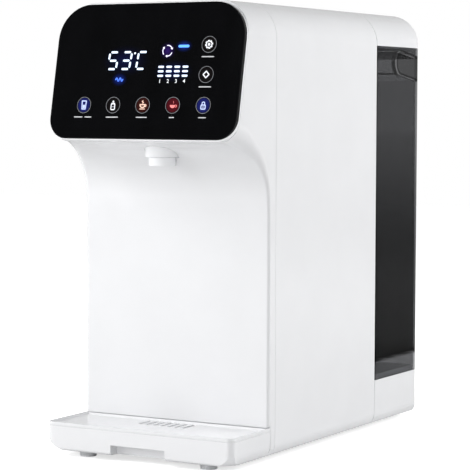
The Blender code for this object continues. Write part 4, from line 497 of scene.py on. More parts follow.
def lit_mark(name, colours):
    """A mark lit from behind, by the core value of its points: 1 in a stroke's middle, 0 at its edge."""
    *ends, strength = LIT_MARKS[name]
    core, rim = (named_colour(colours, end) for end in ends)
    material, tree, shader = new_material(
        name, Roughness=0.3, Specular_IOR_Level=0.1, Emission_Strength=strength
    )
    across = add_node(tree, "ShaderNodeAttribute", attribute_name="core").outputs["Fac"]
    flicker = between(tree, object_noise(tree, scale=900.0, detail=2.0), low=0.94, high=1.0)
    light = ramp(tree, across, list(zip(CORE_SPREAD, (rim, core))))
    set_inputs(tree, shader, {
        "Base Color": (*toned(core, 0.3), 1.0), "Emission Color": mix(tree, flicker, (0, 0, 0), light),
    })
    return material


def printed_mark(name, colour):
    """Grey print on the glass, a little uneven like screen printing."""
    return moulded(name, colour, roughness=0.5, grain=0.0003, depth=0.00001, mottle=0.08)


# Shapes worked out with numpy


def grid_faces(rows, columns, wrap_rows=False):
    """Quads of a grid of points whose columns always close on themselves."""
    row = np.arange(rows if wrap_rows else rows - 1)[:, None]
    column = np.arange(columns)[None, :]
    after, beside = (row + 1) % rows, (column + 1) % columns
    corners = (row, column), (row, beside), (after, beside), (after, column)
    return np.stack([along * columns + across for along, across in corners], -1).reshape(-1, 4)


def stroke(path, half_width, rise, closed=False, sides=12, cap_steps=5):
    """A raised stroke along a flat path, with round ends. On a closed path its sizes may be arrays.

    Each ring lies across the path: half_width * cos(a) to the side and rise * (1 + s) / 2 up, where s is the
    root of |sin(a)| with the sign of sin(a). Past the ends of an open path the rings narrow as a circle does
    and s shrinks with the root of their width. The core value is 1 - |cos(a)| ** 1.5.
    """
    path = np.asarray(path, float)
    if closed:
        ahead, behind = np.roll(path, -1, 0), np.roll(path, 1, 0)
        way = ahead - behind
    else:
        way = np.gradient(path, axis=0)
    way /= np.linalg.norm(way, axis=1)[:, None]
    width = half_width * np.ones(len(path))
    if not closed:
        turn = np.linspace(0, np.pi / 2, cap_steps + 1)[1:]
        start = path[0] - way[0] * half_width * np.sin(turn)[::-1, None]
        end = path[-1] + way[-1] * half_width * np.sin(turn)[:, None]
        narrow = half_width * np.cos(turn)
        path = np.vstack([start, path, end])
        way = np.vstack([np.repeat(way[:1], cap_steps, 0), way, np.repeat(way[-1:], cap_steps, 0)])
        width = np.concatenate([narrow[::-1], width, narrow])
    side = np.stack([way[:, 1], -way[:, 0]], -1)
    angle = np.arange(sides) * 2 * np.pi / sides
    across, lift = np.cos(angle), np.sin(angle)
    lift = np.sign(lift) * np.sqrt(np.abs(lift))
    flat = path[:, None, :] + side[:, None, :] * (width[:, None] * across[None, :])[..., None]
    share = (width / half_width)[:, None]
    height = (rise * np.ones(len(path)))[:, None] * (1 + lift[None, :] * np.sqrt(share)) / 2
    points = np.concatenate([flat, height[..., None]], -1).reshape(-1, 3)
    core = (1 - np.abs(across[None, :]) ** 1.5) * share
    return points, grid_faces(len(path), sides, closed), core.reshape(-1)


def disc(outline, rise, rings=10, fullness=0.3):
    """A raised patch with any star-shaped outline.

    Ring a of the grid is the outline scaled by s = sin(a) ** fullness about its middle, at the height
    rise * (1 + cos(a)) / 2, for a from 0 at the top to pi. The core value is the root of 1 - s ** 2.
    """
    outline = np.asarray(outline, float)
    middle = outline.mean(0)
    angle = np.linspace(0, np.pi, rings + 1)
    scale = np.clip(np.sin(angle), 0, 1) ** fullness
    scale[0] = scale[-1] = 0
    flat = middle + (outline - middle)[None, :, :] * scale[:, None, None]
    height = np.repeat(rise * (1 + np.cos(angle)) / 2, len(outline))
    points = np.column_stack([flat.reshape(-1, 2), height])
    core = np.repeat(np.sqrt(1 - scale**2), len(outline))
    return points, grid_faces(len(angle), len(outline)), core


def circle(middle, radius, start=0.0, end=360.0, count=48):
    """Points round a circle or along an arc of it, angles in degrees."""
    whole = abs(end - start) >= 360
    angle = np.radians(np.linspace(start, end, count, endpoint=not whole))
    return np.stack([middle[0] + radius * np.cos(angle), middle[1] + radius * np.sin(angle)], -1)


def line(*corners, spacing=0.0004):
    """Points along straight legs between corners, about a spacing apart."""
    legs = []
    for start, end in zip(corners, corners[1:]):
        start, end = np.array(start, float), np.array(end, float)
        count = max(2, int(np.linalg.norm(end - start) / spacing))
        legs.append(start + (end - start) * np.linspace(0, 1, count, endpoint=False)[:, None])
    return np.vstack([*legs, np.array(corners[-1], float)[None, :]])


def dash(middle, half_length, half_width, rise):
    """A straight stroke that reaches as far to the left of its middle as to the right."""
    x, y = middle
    return stroke(line((x - half_length, y), (x + half_length, y)), half_width, rise)


def rounded_rectangle(middle, half, radius, count=8):
    """Points round a rectangle whose corners have a radius."""
    parts = []
    for turn, (sx, sy) in enumerate(((1, 1), (-1, 1), (-1, -1), (1, -1))):
        corner = (middle[0] + sx * (half[0] - radius), middle[1] + sy * (half[1] - radius))
        parts.append(circle(corner, radius, 90 * turn, 90 * turn + 90, count))
    return np.vstack(parts)


# How deep a mark's underside lies in what carries it, and how near its points are when they are joined
MARK_SINK = 0.00003
MARK_WELD = 1e-7
SLIVER = 1e-8


def new_object(name, mesh, material):
    """An object for a mesh with one material."""
    mesh.materials.clear()
    mesh.materials.append(material)
    made = bpy.data.objects.new(name, mesh)
    bpy.context.scene.collection.objects.link(made)
    return made


def set_core(mesh, values):
    """Give each point its core value, which lit_mark reads."""
    layer = mesh.attributes.new("core", "FLOAT", "POINT")
    layer.data.foreach_set("value", values)


def plane_piece(
    name, shapes, material, origin=PANEL_ORIGIN, axes=PANEL_AXES, body="body"
):
    """One mesh from several shapes in a plane, the panel's if no other is given, riding on a body."""
    points, faces, cores = zip(*shapes)
    starts = np.cumsum([0] + [len(part) for part in points[:-1]])
    faces = np.vstack([part + start for part, start in zip(faces, starts)])
    placed = origin + (np.vstack(points) - np.array((0, 0, MARK_SINK))) @ axes
    mesh = bpy.data.meshes.new(name)
    mesh.from_pydata(placed.tolist(), [], faces.tolist())
    set_core(mesh, np.concatenate(cores))
    bm = bmesh.new()
    bm.from_mesh(mesh)
    bmesh.ops.remove_doubles(bm, verts=bm.verts, dist=MARK_WELD)
    bmesh.ops.dissolve_degenerate(bm, edges=bm.edges, dist=SLIVER)
    bmesh.ops.recalc_face_normals(bm, faces=bm.faces)
    bm.to_mesh(mesh)
    bm.free()
    mesh.shade_smooth()
    made = new_object(name, mesh, material)
    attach(made, body)


# Dressing the model's own nodes

NODE_WELD = 2e-6
FLAT_ANGLE = math.radians(0.4)
SHARP_ANGLE = math.radians(38)


def body_of_node(node):
    return next(body for body, nodes in frame["record"]["behaviour"]["bodies"].items() if node in nodes)


def dress(node, material, softness):
    """A copy of a node with its corners welded, its flat faces joined and its edges softened."""
    bm = bmesh.new()
    bm.from_mesh(frame["nodes"][node].data)
    bmesh.ops.remove_doubles(bm, verts=bm.verts, dist=NODE_WELD)
    bmesh.ops.dissolve_limit(bm, angle_limit=FLAT_ANGLE, verts=bm.verts, edges=bm.edges)
    mesh = bpy.data.meshes.new(node + "_finished")
    bm.to_mesh(mesh)
    bm.free()
    mesh.shade_smooth()
    mesh.set_sharp_from_angle(angle=SHARP_ANGLE)
    made = new_object(node + "_finished", mesh, material)
    if softness > 0:
        bevel = made.modifiers.new("Soft edges", "BEVEL")
        bevel.width = softness
        bevel.segments = 2
        bevel.limit_method = "ANGLE"
        bevel.angle_limit = SHARP_ANGLE
        bevel.use_clamp_overlap = True
        bevel.miter_outer = "MITER_ARC"
    level = made.modifiers.new("Even shading", "WEIGHTED_NORMAL")
    level.keep_sharp = True
    level.weight = 60
    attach(made, body_of_node(node))
    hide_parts(node)


def dress_slot(slot, material, softness):
    for node in NODE_FINISHES[slot]:
        dress(node, material, 0 if node in UNSOFTENED else softness)


# The glass's corners: to the right, up, and the arc's radius
GLASS_CORNERS = ((1, 1, 0.0311), (-1, 1, 0.0311), (-1, -1, 0.018), (1, -1, 0.018))
# The lip round the glass: its half width and rise at the sides and under the glass, and how deep it lies
LIP_GAP = 0.0001
LIP_HALF_WIDTHS = (0.00024, 0.0006)
LIP_RISES = (0.0018, 0.0046)
LIP_DEPTH = 0.0049
LIP_STEPS = 14


def panel_lip():
    """A bead round the glass's outline, which faces angle a on arcs of radius + gap + half width(a).

    Its half width and its rise go from those at the sides and top to those under the glass with -sin(a).
    """
    half = GLASS_HIGH.x
    height = (GLASS_HIGH.z - PANEL_ORIGIN[2]) / math.cos(PANEL_TILT)
    path, widths, rises = [], [], []
    for turn, (across, up, radius) in enumerate(GLASS_CORNERS):
        angle = np.radians(np.linspace(90 * turn, 90 * turn + 90, LIP_STEPS))
        low = np.clip(-np.sin(angle), 0, 1)
        width = np.interp(low, (0, 1), LIP_HALF_WIDTHS)
        reach = radius + LIP_GAP + width
        middle = across * (half - radius), height / 2 + up * (height / 2 - radius)
        path.append(np.stack([middle[0] + reach * np.cos(angle), middle[1] + reach * np.sin(angle)], -1))
        widths.append(width)
        rises.append(np.interp(low, (0, 1), LIP_RISES))
    points, faces, core = stroke(np.vstack(path), np.concatenate(widths), np.concatenate(rises), closed=True)
    return points - (0, 0, LIP_DEPTH), faces, core


# The plate's turned-up edge, a cove that runs all round it, and its corners: to the right, back, radius
PLATE_EDGE_WIDTH = 0.0030
PLATE_EDGE_RISE = 0.0019
PLATE_EDGE_TOP = 0.0003
PLATE_EDGE_STEPS = 8
PLATE_CORNERS = ((1, 1, 0.0002), (-1, 1, 0.0002), (-1, -1, 0.0044), (1, -1, 0.0044))


def plate_edge():
    """The plate's outline, drawn in by u, at the height rise * ((width - u) / (width - top)) ** 2.

    Its corners are arcs of radius less u, or of the least radius, and its outer side is upright.
    """
    low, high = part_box("drip_plate")
    across = np.linspace(PLATE_EDGE_TOP, PLATE_EDGE_WIDTH, PLATE_EDGE_STEPS)
    cove = PLATE_EDGE_RISE * ((PLATE_EDGE_WIDTH - across) / (PLATE_EDGE_WIDTH - PLATE_EDGE_TOP)) ** 2
    inset = np.concatenate([[0.0, 0.0], across, [PLATE_EDGE_WIDTH]])
    height = np.concatenate([[0.0, PLATE_EDGE_RISE - PLATE_EDGE_TOP / 2], cove, [0.0]])
    rows = []
    for turn, (right, back, radius) in enumerate(PLATE_CORNERS):
        angle = np.radians(np.linspace(90 * turn, 90 * turn + 90, PLATE_EDGE_STEPS))[:, None]
        arc = np.maximum(radius - inset, PLATE_CORNERS[0][2])[None, :]
        x = (high.x if right > 0 else low.x) - right * (inset + arc)
        y = (high.y if back > 0 else low.y) - back * (inset + arc)
        rows.append(np.stack([x + arc * np.cos(angle), y + arc * np.sin(angle), height + 0 * angle], -1))
    points = np.concatenate(rows)
    rows, columns = points.shape[:2]
    return points.reshape(-1, 3), grid_faces(rows, columns, True), np.ones(rows * columns)


def settings(context):
    """The sizes and the colours that the add-on keeps."""
    return context.scene.purifier_sizes, context.scene.purifier_colours


class PURIFIER_OT_shells(bpy.types.Operator):
    """Finish the white moulded shells, the lid, the tray and the nozzle"""

    bl_idname = "purifier.shells"
    bl_label = "White shells"

    def execute(self, context):
        sizes, colours = settings(context)
        shells = white_plastic("shell_white", colours.shell)
        # A lighter copy of the shell white: painted light
        lit_spout_white = white_plastic("spout_white", toned(colours.shell, SPOUT_PAINTED_LIGHT))
        for node in NODE_FINISHES["white"]:
            dress(node, lit_spout_white if node in SPOUT_NODES else shells, sizes.edge_softness)
        plane_piece("panel_lip", [panel_lip()], lit_spout_white)
        plate_top = np.array((0.0, 0.0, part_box("drip_plate")[1].z))
        plane_piece("plate_edge", [plate_edge()], lit_spout_white, plate_top, np.eye(3), "plate")
        return {"FINISHED"}


class PURIFIER_OT_tank(bpy.types.Operator):
    """Finish the smoked water tank"""

    bl_idname = "purifier.tank"
    bl_label = "Smoked tank"

    def execute(self, context):
        sizes, colours = settings(context)
        dress_slot("smoke", smoked_plastic(tuple(colours.tank)), sizes.edge_softness)
        return {"FINISHED"}


class PURIFIER_OT_panel(bpy.types.Operator):
    """Finish the black glass of the touch panel"""

    bl_idname = "purifier.panel"
    bl_label = "Touch panel"

    def execute(self, context):
        sizes, colours = settings(context)
        dress_slot("black_glass", panel_glass(colours), sizes.edge_softness)
        return {"FINISHED"}


# Finishes of the working parts and the feet: colour, roughness, size and depth of the grain, and mottling
WORKS_FINISHES = {
    "grey_plastic": ((0.33, 0.34, 0.36), 0.45, 0.0006, 0.00003, 0.04),
    "black_plastic": ((0.018, 0.018, 0.020), 0.42, 0.0005, 0.00003, 0.12),
    "filter_white": ((0.74, 0.75, 0.76), 0.35, 0.0008, 0.00002, 0.02),
    "filter_blue": ((0.06, 0.17, 0.45), 0.35, 0.0008, 0.00002, 0.05),
    "steel": ((0.60, 0.61, 0.62), 0.23, 0.0005, 0.00002, 0.06),
    "aluminium": ((0.72, 0.73, 0.74), 0.36, 0.0005, 0.00002, 0.06),
    "rubber": ((0.80, 0.81, 0.83), 0.70, 0.0004, 0.00006, 0.05),
    "silicone": ((0.70, 0.72, 0.73), 0.42, 0.001, 0.00002, 0.03),
}
# The metals are brushed, with streaks drawn out along one axis, and silicone lets some light through
WORKS_EXTRAS = {
    "steel": {"stretch": (1.0, 1.0, 40.0), "Metallic": 1.0},
    "aluminium": {"stretch": (1.0, 1.0, 6.0), "Metallic": 1.0},
    "silicone": {"Transmission_Weight": 0.25, "IOR": 1.41},
}
BOARD_GREEN = (0.010, 0.085, 0.032)


class PURIFIER_OT_works(bpy.types.Operator):
    """Finish the working parts, the floor plate and the feet"""

    bl_idname = "purifier.works"
    bl_label = "Working parts"

    def execute(self, context):
        softness = context.scene.purifier_sizes.edge_softness / 2
        for slot, finish in WORKS_FINISHES.items():
            dress_slot(slot, moulded(slot, *finish, **WORKS_EXTRAS.get(slot, {})), softness)
        dress_slot("board_green", circuit_board(BOARD_GREEN), softness)
        # The valve's spring gets a mesh of its own
        spring = bpy.data.objects["valve_spring_finished"]
        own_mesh(spring)
        return {"FINISHED"}


# Strokes of a seven-stroke digit, from end to end, in half widths and half heights from its middle
DIGIT_STROKES = {
    "top": ((-1, 1), (1, 1)),
    "upper_left": ((-1, 1), (-1, 0)),
    "upper_right": ((1, 1), (1, 0)),
    "middle": ((-1, 0), (1, 0)),
    "lower_left": ((-1, 0), (-1, -1)),
    "lower_right": ((1, 0), (1, -1)),
    "bottom": ((-1, -1), (1, -1)),
}
# Each digit's middle and its strokes; the last one is the scale's letter
DIGITS = {
    "five": (-0.0346, ("top", "upper_left", "middle", "lower_right", "bottom")),
    "three": (-0.0210, ("top", "upper_right", "middle", "lower_right", "bottom")),
    "scale": (-0.0052, ("top", "upper_left", "lower_left", "bottom")),
}
DEGREE_PLACE = (-0.0128, 0.0750)
DEGREE_SHARE = 0.95


class PURIFIER_OT_digits(bpy.types.Operator):
    """Draw the temperature as seven-stroke digits"""

    bl_idname = "purifier.digits"
    bl_label = "Temperature digits"

    def execute(self, context):
        sizes, colours = settings(context)
        lean = math.tan(sizes.digit_slant)
        half = np.array((sizes.digit_half_width, sizes.digit_half_height))
        # Strokes stop short of their corners by their own width
        gap = sizes.stroke_half_width * 2
        shapes = []
        for middle_x, strokes in DIGITS.values():
            for name in strokes:
                start, end = (np.array(corner) * half for corner in DIGIT_STROKES[name])
                way = (end - start) / np.linalg.norm(end - start)
                path = line(start + way * gap, end - way * gap)
                path = path + np.stack([path[:, 1] * lean, np.zeros(len(path))], -1)
                path = path + (middle_x, DIGITS_MIDDLE_Y)
                shapes.append(stroke(path, sizes.stroke_half_width, sizes.mark_rise))
        dot = circle(DEGREE_PLACE, sizes.stroke_half_width * DEGREE_SHARE, count=24)
        shapes.append(disc(dot, sizes.mark_rise))
        plane_piece("temperature_digits", shapes, lit_mark("digit_light", colours))
        return {"FINISHED"}


# The gauge's first bar, the steps to the next column and row, and a bar's half length and half width
GAUGE_PLACE = (0.0151, 0.0628)
GAUGE_STEP = (0.0081, -0.0039)
GAUGE_BAR_HALF = (0.0029, 0.00098)
GAUGE_NUMBERS_Y = 0.0502
GAUGE_NUMBER_SIZE = 0.0046
GAUGE_NUMBER_SWELL = 0.00002


def gauge_number(context, column, light):
    """The number under one of the gauge's columns, as text made into a mesh in the panel's plane."""
    name = "gauge_number_" + str(column + 1)
    curve = bpy.data.curves.new(name, "FONT")
    curve.body = str(column + 1)
    curve.size = GAUGE_NUMBER_SIZE
    curve.align_x = "CENTER"
    curve.align_y = "CENTER"
    curve.extrude = context.scene.purifier_sizes.mark_rise / 2
    curve.offset = GAUGE_NUMBER_SWELL
    curve.resolution_u = 6
    text = bpy.data.objects.new(name, curve)
    context.scene.collection.objects.link(text)
    context.view_layer.update()
    mesh = bpy.data.meshes.new_from_object(text.evaluated_get(context.evaluated_depsgraph_get()))
    bpy.data.objects.remove(text)
    bpy.data.curves.remove(curve)
    place = PANEL_ORIGIN + (GAUGE_PLACE[0] + column * GAUGE_STEP[0], GAUGE_NUMBERS_Y, 0.0) @ PANEL_AXES
    mesh.transform(Matrix.Translation(place) @ Matrix(PANEL_AXES.T.tolist()).to_4x4())
    set_core(mesh, np.ones(len(mesh.vertices)))
    made = new_object(name, mesh, light)
    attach(made, "body")


class PURIFIER_OT_gauge(bpy.types.Operator):
    """Draw the filter gauge: four columns of three bars, numbered from 1 to 4"""

    bl_idname = "purifier.gauge"
    bl_label = "Filter gauge"

    def execute(self, context):
        sizes, colours = settings(context)
        light = lit_mark("gauge_light", colours)
        half_length, half_width = GAUGE_BAR_HALF
        bars = []
        for column in range(4):
            for row in range(3):
                place = GAUGE_PLACE[0] + column * GAUGE_STEP[0], GAUGE_PLACE[1] + row * GAUGE_STEP[1]
                bars.append(dash(place, half_length - half_width, half_width, sizes.mark_rise))
        plane_piece("filter_gauge_bars", bars, light)
        for column in range(4):
            gauge_number(context, column, light)
        return {"FINISHED"}


# The cycle sign: where its arrows start, how far their arcs go and where their heads lie, in degrees
CYCLE_STARTS = (98, 218, 338)
CYCLE_ARC = 62
CYCLE_HEAD = (66, 84)
CYCLE_RADIUS = 0.0047
CYCLE_HALF_WIDTH = 0.00045
HEAD_HALF_WIDTH = 0.0013
HEAD_LENGTH = 0.0018
# Half lengths and half widths of the working light and of the lamp's wave, and how high the wave swings
WORKING_HALF = (0.0042, 0.0013)
WAVE_HALF = (0.0036, 0.00062)
WAVE_SWING = 0.0013


class PURIFIER_OT_signs(bpy.types.Operator):
    """Draw the cycle sign, the working light and the lamp's wave"""

    bl_idname = "purifier.signs"
    bl_label = "Status signs"

    def execute(self, context):
        sizes, colours = settings(context)
        rise = sizes.mark_rise
        shapes = []
        for turn in CYCLE_STARTS:
            arc = circle(CYCLE_PLACE, CYCLE_RADIUS, turn, turn - CYCLE_ARC, 20)
            base, ahead = circle(CYCLE_PLACE, CYCLE_RADIUS, turn - CYCLE_HEAD[0], turn - CYCLE_HEAD[1], 2)
            way = (ahead - base) / np.linalg.norm(ahead - base)
            side = np.array((-way[1], way[0])) * HEAD_HALF_WIDTH
            head = line(base - side, base + way * HEAD_LENGTH, base + side, base - side)[:-1]
            shapes += [stroke(arc, CYCLE_HALF_WIDTH, rise), disc(head, rise, fullness=0.2)]
        plane_piece("cycle_sign", shapes, lit_mark("cycle_light", colours))
        bar = dash(WORKING_PLACE, *WORKING_HALF, rise)
        plane_piece("working_light", [bar], lit_mark("working_light", colours))
        run = np.linspace(-1, 1, 41)
        wave = np.stack([run * WAVE_HALF[0], WAVE_SWING * np.sin(run * 2 * np.pi)], -1) + LAMP_PLACE
        plane_piece("lamp_wave", [stroke(wave, WAVE_HALF[1], rise)], lit_mark("lamp_light", colours))
        return {"FINISHED"}


# Pictures on the keys, drawn about each key's middle


def tumbler(rise):
    """A tall glass: an outline that narrows to its foot, and the level of what is in it."""
    top, foot, half_height = 0.0019, 0.0015, 0.0031
    corners = (-top, half_height), (-foot, -half_height), (foot, -half_height), (top, half_height)
    walls = stroke(line(*corners, corners[0]), 0.0005, rise)
    level = disc(rounded_rectangle((0, -0.0011), half=(0.0010, 0.0013), radius=0.0003), rise * 0.8)
    return [walls, level]


def bottle(rise):
    """A baby's bottle: a round body, a collar and a teat."""
    outline = rounded_rectangle((0, -0.0013), half=(0.0016, 0.0022), radius=0.0007)
    body = stroke(outline, 0.00045, rise, closed=True)
    collar = dash((0, 0.0014), 0.0012, 0.0004, rise)
    teat = disc(circle((0, 0.0027), radius=0.0008, count=20), rise)
    mark = stroke(line((-0.0003, -0.0012), (0.0006, -0.0012)), 0.0002, rise)
    return [body, collar, teat, mark]


def cup_handle(place, rise):
    return stroke(circle(place, radius=0.0008, start=80, end=-100, count=10), 0.0003, rise)


def coffee_cup(rise):
    """A cup on a saucer with a wisp over it."""
    radius, rim = 0.0022, 0.0004
    bowl = np.vstack([line((-radius, rim), (radius, rim)), circle((0, rim), radius, 0, -180, 20)])
    saucer = dash((0, -0.0029), 0.0021, 0.00035, rise)
    run = np.linspace(0, 1, 15)
    wisp = stroke(np.stack([0.0005 * np.sin(run * 2 * np.pi), 0.0015 + run * 0.0018], -1), 0.0004, rise)
    return [stroke(bowl, 0.0005, rise), cup_handle((0.0024, -0.0003), rise), saucer, wisp]


def tea_cup(rise):
    """A wide cup with a leaf over its rim."""
    radius, rim = 0.0024, 0.0002
    bowl = np.vstack([circle((0, rim), radius, 180, 360, 24), line((radius, rim), (-radius, rim))[1:-1]])
    angle = np.linspace(0, 2 * np.pi, 24, endpoint=False)
    leaf_x = 0.0003 + 0.0007 * np.sin(angle) * np.cos(angle / 2)
    leaf = np.stack([leaf_x, 0.0020 + 0.0011 * np.cos(angle)], -1)
    return [disc(bowl, rise, fullness=0.2), cup_handle((0.0026, -0.0006), rise), disc(leaf, rise)]


def padlock(rise):
    """A padlock: a full body under a shackle."""
    half, foot, shoulder = 0.0011, 0.0002, 0.0012
    legs = line((-half, foot), (-half, shoulder)), line((half, shoulder), (half, foot))
    shackle = np.vstack([legs[0], circle((0, 0.0014), half, 180, 0, 14), legs[1]])
    outline = rounded_rectangle((0, -0.0013), half=(0.0018, 0.0015), radius=0.0005)
    keyhole = disc(circle((0, -0.0013), radius=0.00055, count=16), rise)
    return [stroke(shackle, 0.00042, rise), stroke(outline, 0.0005, rise, closed=True), keyhole]


def gear(rise):
    """A gear: eight teeth round a ring, with a round hub."""
    angle = np.linspace(0, 2 * np.pi, 96, endpoint=False)
    teeth = 0.0026 + 0.0004 * np.tanh(6 * np.sin(8 * angle))
    rim = np.stack([teeth * np.cos(angle), teeth * np.sin(angle)], -1)
    return [stroke(rim, 0.00042, rise, closed=True), disc(circle((0, 0), 0.0011, count=24), rise)]


def diamond(rise):
    """A square set on its corner, open in the middle."""
    corners = ((0, 0.0025), (-0.0025, 0), (0, -0.0025), (0.0025, 0), (0, 0.0025))
    return [stroke(line(*corners), 0.00048, rise)]


LOWER_KEYS_Y = 0.0294
SIDE_KEYS_X = 0.0605
# Each key: its name, drawing and light, how wide its label's dashes are, and a side key's height
LOWER_KEYS = (
    ("tumbler", tumbler, "blue", (0.0088, 0.0072)),
    ("bottle", bottle, "white", (0.0125,)),
    ("coffee", coffee_cup, "amber", (0.0112,)),
    ("tea", tea_cup, "red", (0.0052,)),
    ("lock", padlock, "blue", (0.0078,)),
)
SIDE_KEYS = (
    ("gear", gear, "white", (0.0122,), 0.0819),
    ("diamond", diamond, "white", (0.0122,), 0.0559),
)
KEY_LIGHTS = ("blue", "white", "amber", "red")
RING_HALF_WIDTH = 0.0002
BACK_SHARE = 0.9
BACK_RISE_SHARE = 0.8
PICTURE_SCALE = 1.15
PICTURE_RISE_SHARE = 1.5
LABEL_COLOUR = (0.62, 0.63, 0.65)
LABEL_DROP = 0.0106
LABEL_GAP = 0.0022
LABEL_HALF_WIDTH = 0.00048
LABEL_END = 0.0005
ROW_SHIFT = 0.0004


class PURIFIER_OT_keys(bpy.types.Operator):
    """Draw the seven touch keys: a ring, a tinted disc, a picture and dashes for a label"""

    bl_idname = "purifier.keys"
    bl_label = "Touch keys"

    def execute(self, context):
        sizes, colours = settings(context)
        rise = sizes.mark_rise
        lights = {light: lit_mark("key_" + light, colours) for light in KEY_LIGHTS}
        backs = {light: lit_mark("key_back_" + light, colours) for light in KEY_LIGHTS}
        keys = []
        for index, key in enumerate(LOWER_KEYS):
            keys.append((*key, (index - 2) * sizes.key_spacing + ROW_SHIFT, LOWER_KEYS_Y))
        keys += [(*key, SIDE_KEYS_X, y) for *key, y in SIDE_KEYS]
        rings, labels = [], []
        for name, draw, light, dashes, x, y in keys:
            ring = circle((x, y), sizes.key_radius, count=72)
            rings.append(stroke(ring, RING_HALF_WIDTH, rise, closed=True))
            back = disc(circle((x, y), sizes.key_radius * BACK_SHARE), rise * BACK_RISE_SHARE)
            plane_piece("key_back_" + name, [back], backs[light])
            enlarge = np.array((PICTURE_SCALE, PICTURE_SCALE, 1))
            drawn = draw(rise * PICTURE_RISE_SHARE)
            picture = [(points * enlarge + (x, y, 0), faces, core) for points, faces, core in drawn]
            plane_piece("key_" + name, picture, lights[light])
            left = x - (sum(dashes) + LABEL_GAP * (len(dashes) - 1)) / 2
            for length in dashes:
                ends = (left + LABEL_END, y - LABEL_DROP), (left + length - LABEL_END, y - LABEL_DROP)
                labels.append(stroke(line(*ends), LABEL_HALF_WIDTH, rise))
                left += length + LABEL_GAP
        plane_piece("key_rings", rings, printed_mark("key_ring_print", tuple(colours.print_grey)))
        plane_piece("key_labels", labels, printed_mark("key_label_print", LABEL_COLOUR))
        return {"FINISHED"}


# Studio

# Camera of the photograph
CAMERA_PLACE = (0.9031, -1.6069, 0.3098)
CAMERA_YAW = math.radians(29.578)
CAMERA_PITCH = math.radians(3.754)
CAMERA_ROLL = math.radians(0.178)
CAMERA_LENS = 150.42
FLOOR_HALF = 4.0
# A dark flag before the panel: how far it reaches round the mirrored direction, and how dark it is
FLAG_REACH = math.radians(16)
FLAG_FADE = math.radians(14)
FLAG_LEVEL = 0.06
# Where the walls start and stop getting darker with height, and how bright they are there
WALL_HEIGHTS = (0.15, 0.9)
CEILING_LEVEL = 0.72
# How brightly the floor glows where it is seen
FLOOR_GLOW = 0.66
# Lamps by the setting of their power: name, azimuth and elevation in degrees, width and height
LAMPS = {
    "left_lamp": ("lamp_front_left", -48, 22, (1.3, 1.6)),
    "right_lamp": ("lamp_right", 122, 18, (1.3, 1.6)),
    "low_lamp": ("lamp_low", 12, -2, (1.0, 0.2)),
}
LAMP_DISTANCE = 2.2
LAMP_TARGET = Vector((0, 0, 0.2))


def direction(azimuth, elevation):
    """The direction from the object, azimuth 0 being the front."""
    flat = math.cos(elevation)
    return Vector((math.sin(azimuth) * flat, -math.cos(azimuth) * flat, math.sin(elevation)))


def camera_turn():
    """The camera's axes as a rotation: right, up and back, rolled about the view."""
    back = direction(CAMERA_YAW, CAMERA_PITCH)
    level = Vector((math.cos(CAMERA_YAW), math.sin(CAMERA_YAW), 0))
    up = back.cross(level)
    right = level * math.cos(CAMERA_ROLL) + up * math.sin(CAMERA_ROLL)
    up = up * math.cos(CAMERA_ROLL) - level * math.sin(CAMERA_ROLL)
    return Matrix((right, up, back)).transposed().to_4x4()


def seen_directly(tree):
    """1 for rays from the camera and for those that have passed through something clear."""
    rays = add_node(tree, "ShaderNodeLightPath").outputs
    return calculate(tree, "MAXIMUM", rays["Is Camera Ray"], rays["Is Transmission Ray"])


def floor_material():
    """Pale studio paper: white to the camera where nothing shades it, with a faint fibre."""
    material, tree, shader = new_material("studio_paper", Roughness=0.9, Specular_IOR_Level=0.1)
    fibre = object_noise(tree, scale=300.0, detail=4.0)
    set_inputs(tree, shader, {
        "Base Color": shades(tree, fibre, (0.80, 0.80, 0.80), (0.82, 0.82, 0.82)),
        "Emission Color": (1, 1, 1, 1),
        "Emission Strength": calculate(tree, "MULTIPLY", seen_directly(tree), FLOOR_GLOW),
    })
    return material


def studio_world(surround):
    """A white studio: even walls, darker overhead, with a dark flag where the panel would mirror them."""
    world = bpy.data.worlds.new("studio")
    world.use_nodes = True
    tree = world.node_tree
    smooth = {"interpolation_type": "SMOOTHSTEP"}
    way = add_node(tree, "ShaderNodeTexCoord").outputs["Generated"]
    overhead = remap(tree, separate(tree, way)["Z"], WALL_HEIGHTS, (1.0, CEILING_LEVEL), **smooth)
    ends = {0: way, 1: mirrored_by_panel()}
    near_flag = add_node(tree, "ShaderNodeVectorMath", ends, operation="DOT_PRODUCT").outputs["Value"]
    flag = math.cos(FLAG_REACH + FLAG_FADE), math.cos(FLAG_REACH)
    flagged = remap(tree, near_flag, flag, (surround, FLAG_LEVEL), **smooth)
    inputs = {0: seen_directly(tree), 2: calculate(tree, "MULTIPLY", overhead, flagged), 3: 1.0}
    strength = add_node(tree, "ShaderNodeMix", inputs, data_type="FLOAT").outputs[0]
    set_inputs(tree, tree.nodes["Background"], {"Color": (1.0, 1.0, 1.0, 1.0), "Strength": strength})
    return world


def mirrored_by_panel():
    """The direction that the panel mirrors to the camera."""
    normal = Vector(PANEL_AXES[2])
    middle = (GLASS_LOW + GLASS_HIGH) / 2
    to_camera = (Vector(CAMERA_PLACE) - middle).normalized()
    return tuple(2 * to_camera.dot(normal) * normal - to_camera)


def soft_lamp(name, azimuth, elevation, size, power):
    """An area lamp at an azimuth and elevation round the object, turned towards it."""
    back = direction(math.radians(azimuth), math.radians(elevation))
    light = bpy.data.lights.new(name, "AREA")
    light.shape = "RECTANGLE"
    light.size, light.size_y = size
    light.energy = power
    lamp = bpy.data.objects.new(name, light)
    lamp.location = LAMP_TARGET + back * LAMP_DISTANCE
    lamp.rotation_euler = back.to_track_quat("Z", "Y").to_euler()
    for rays in ("camera", "transmission", "glossy"):
        setattr(lamp, "visible_" + rays, False)
    bpy.context.scene.collection.objects.link(lamp)


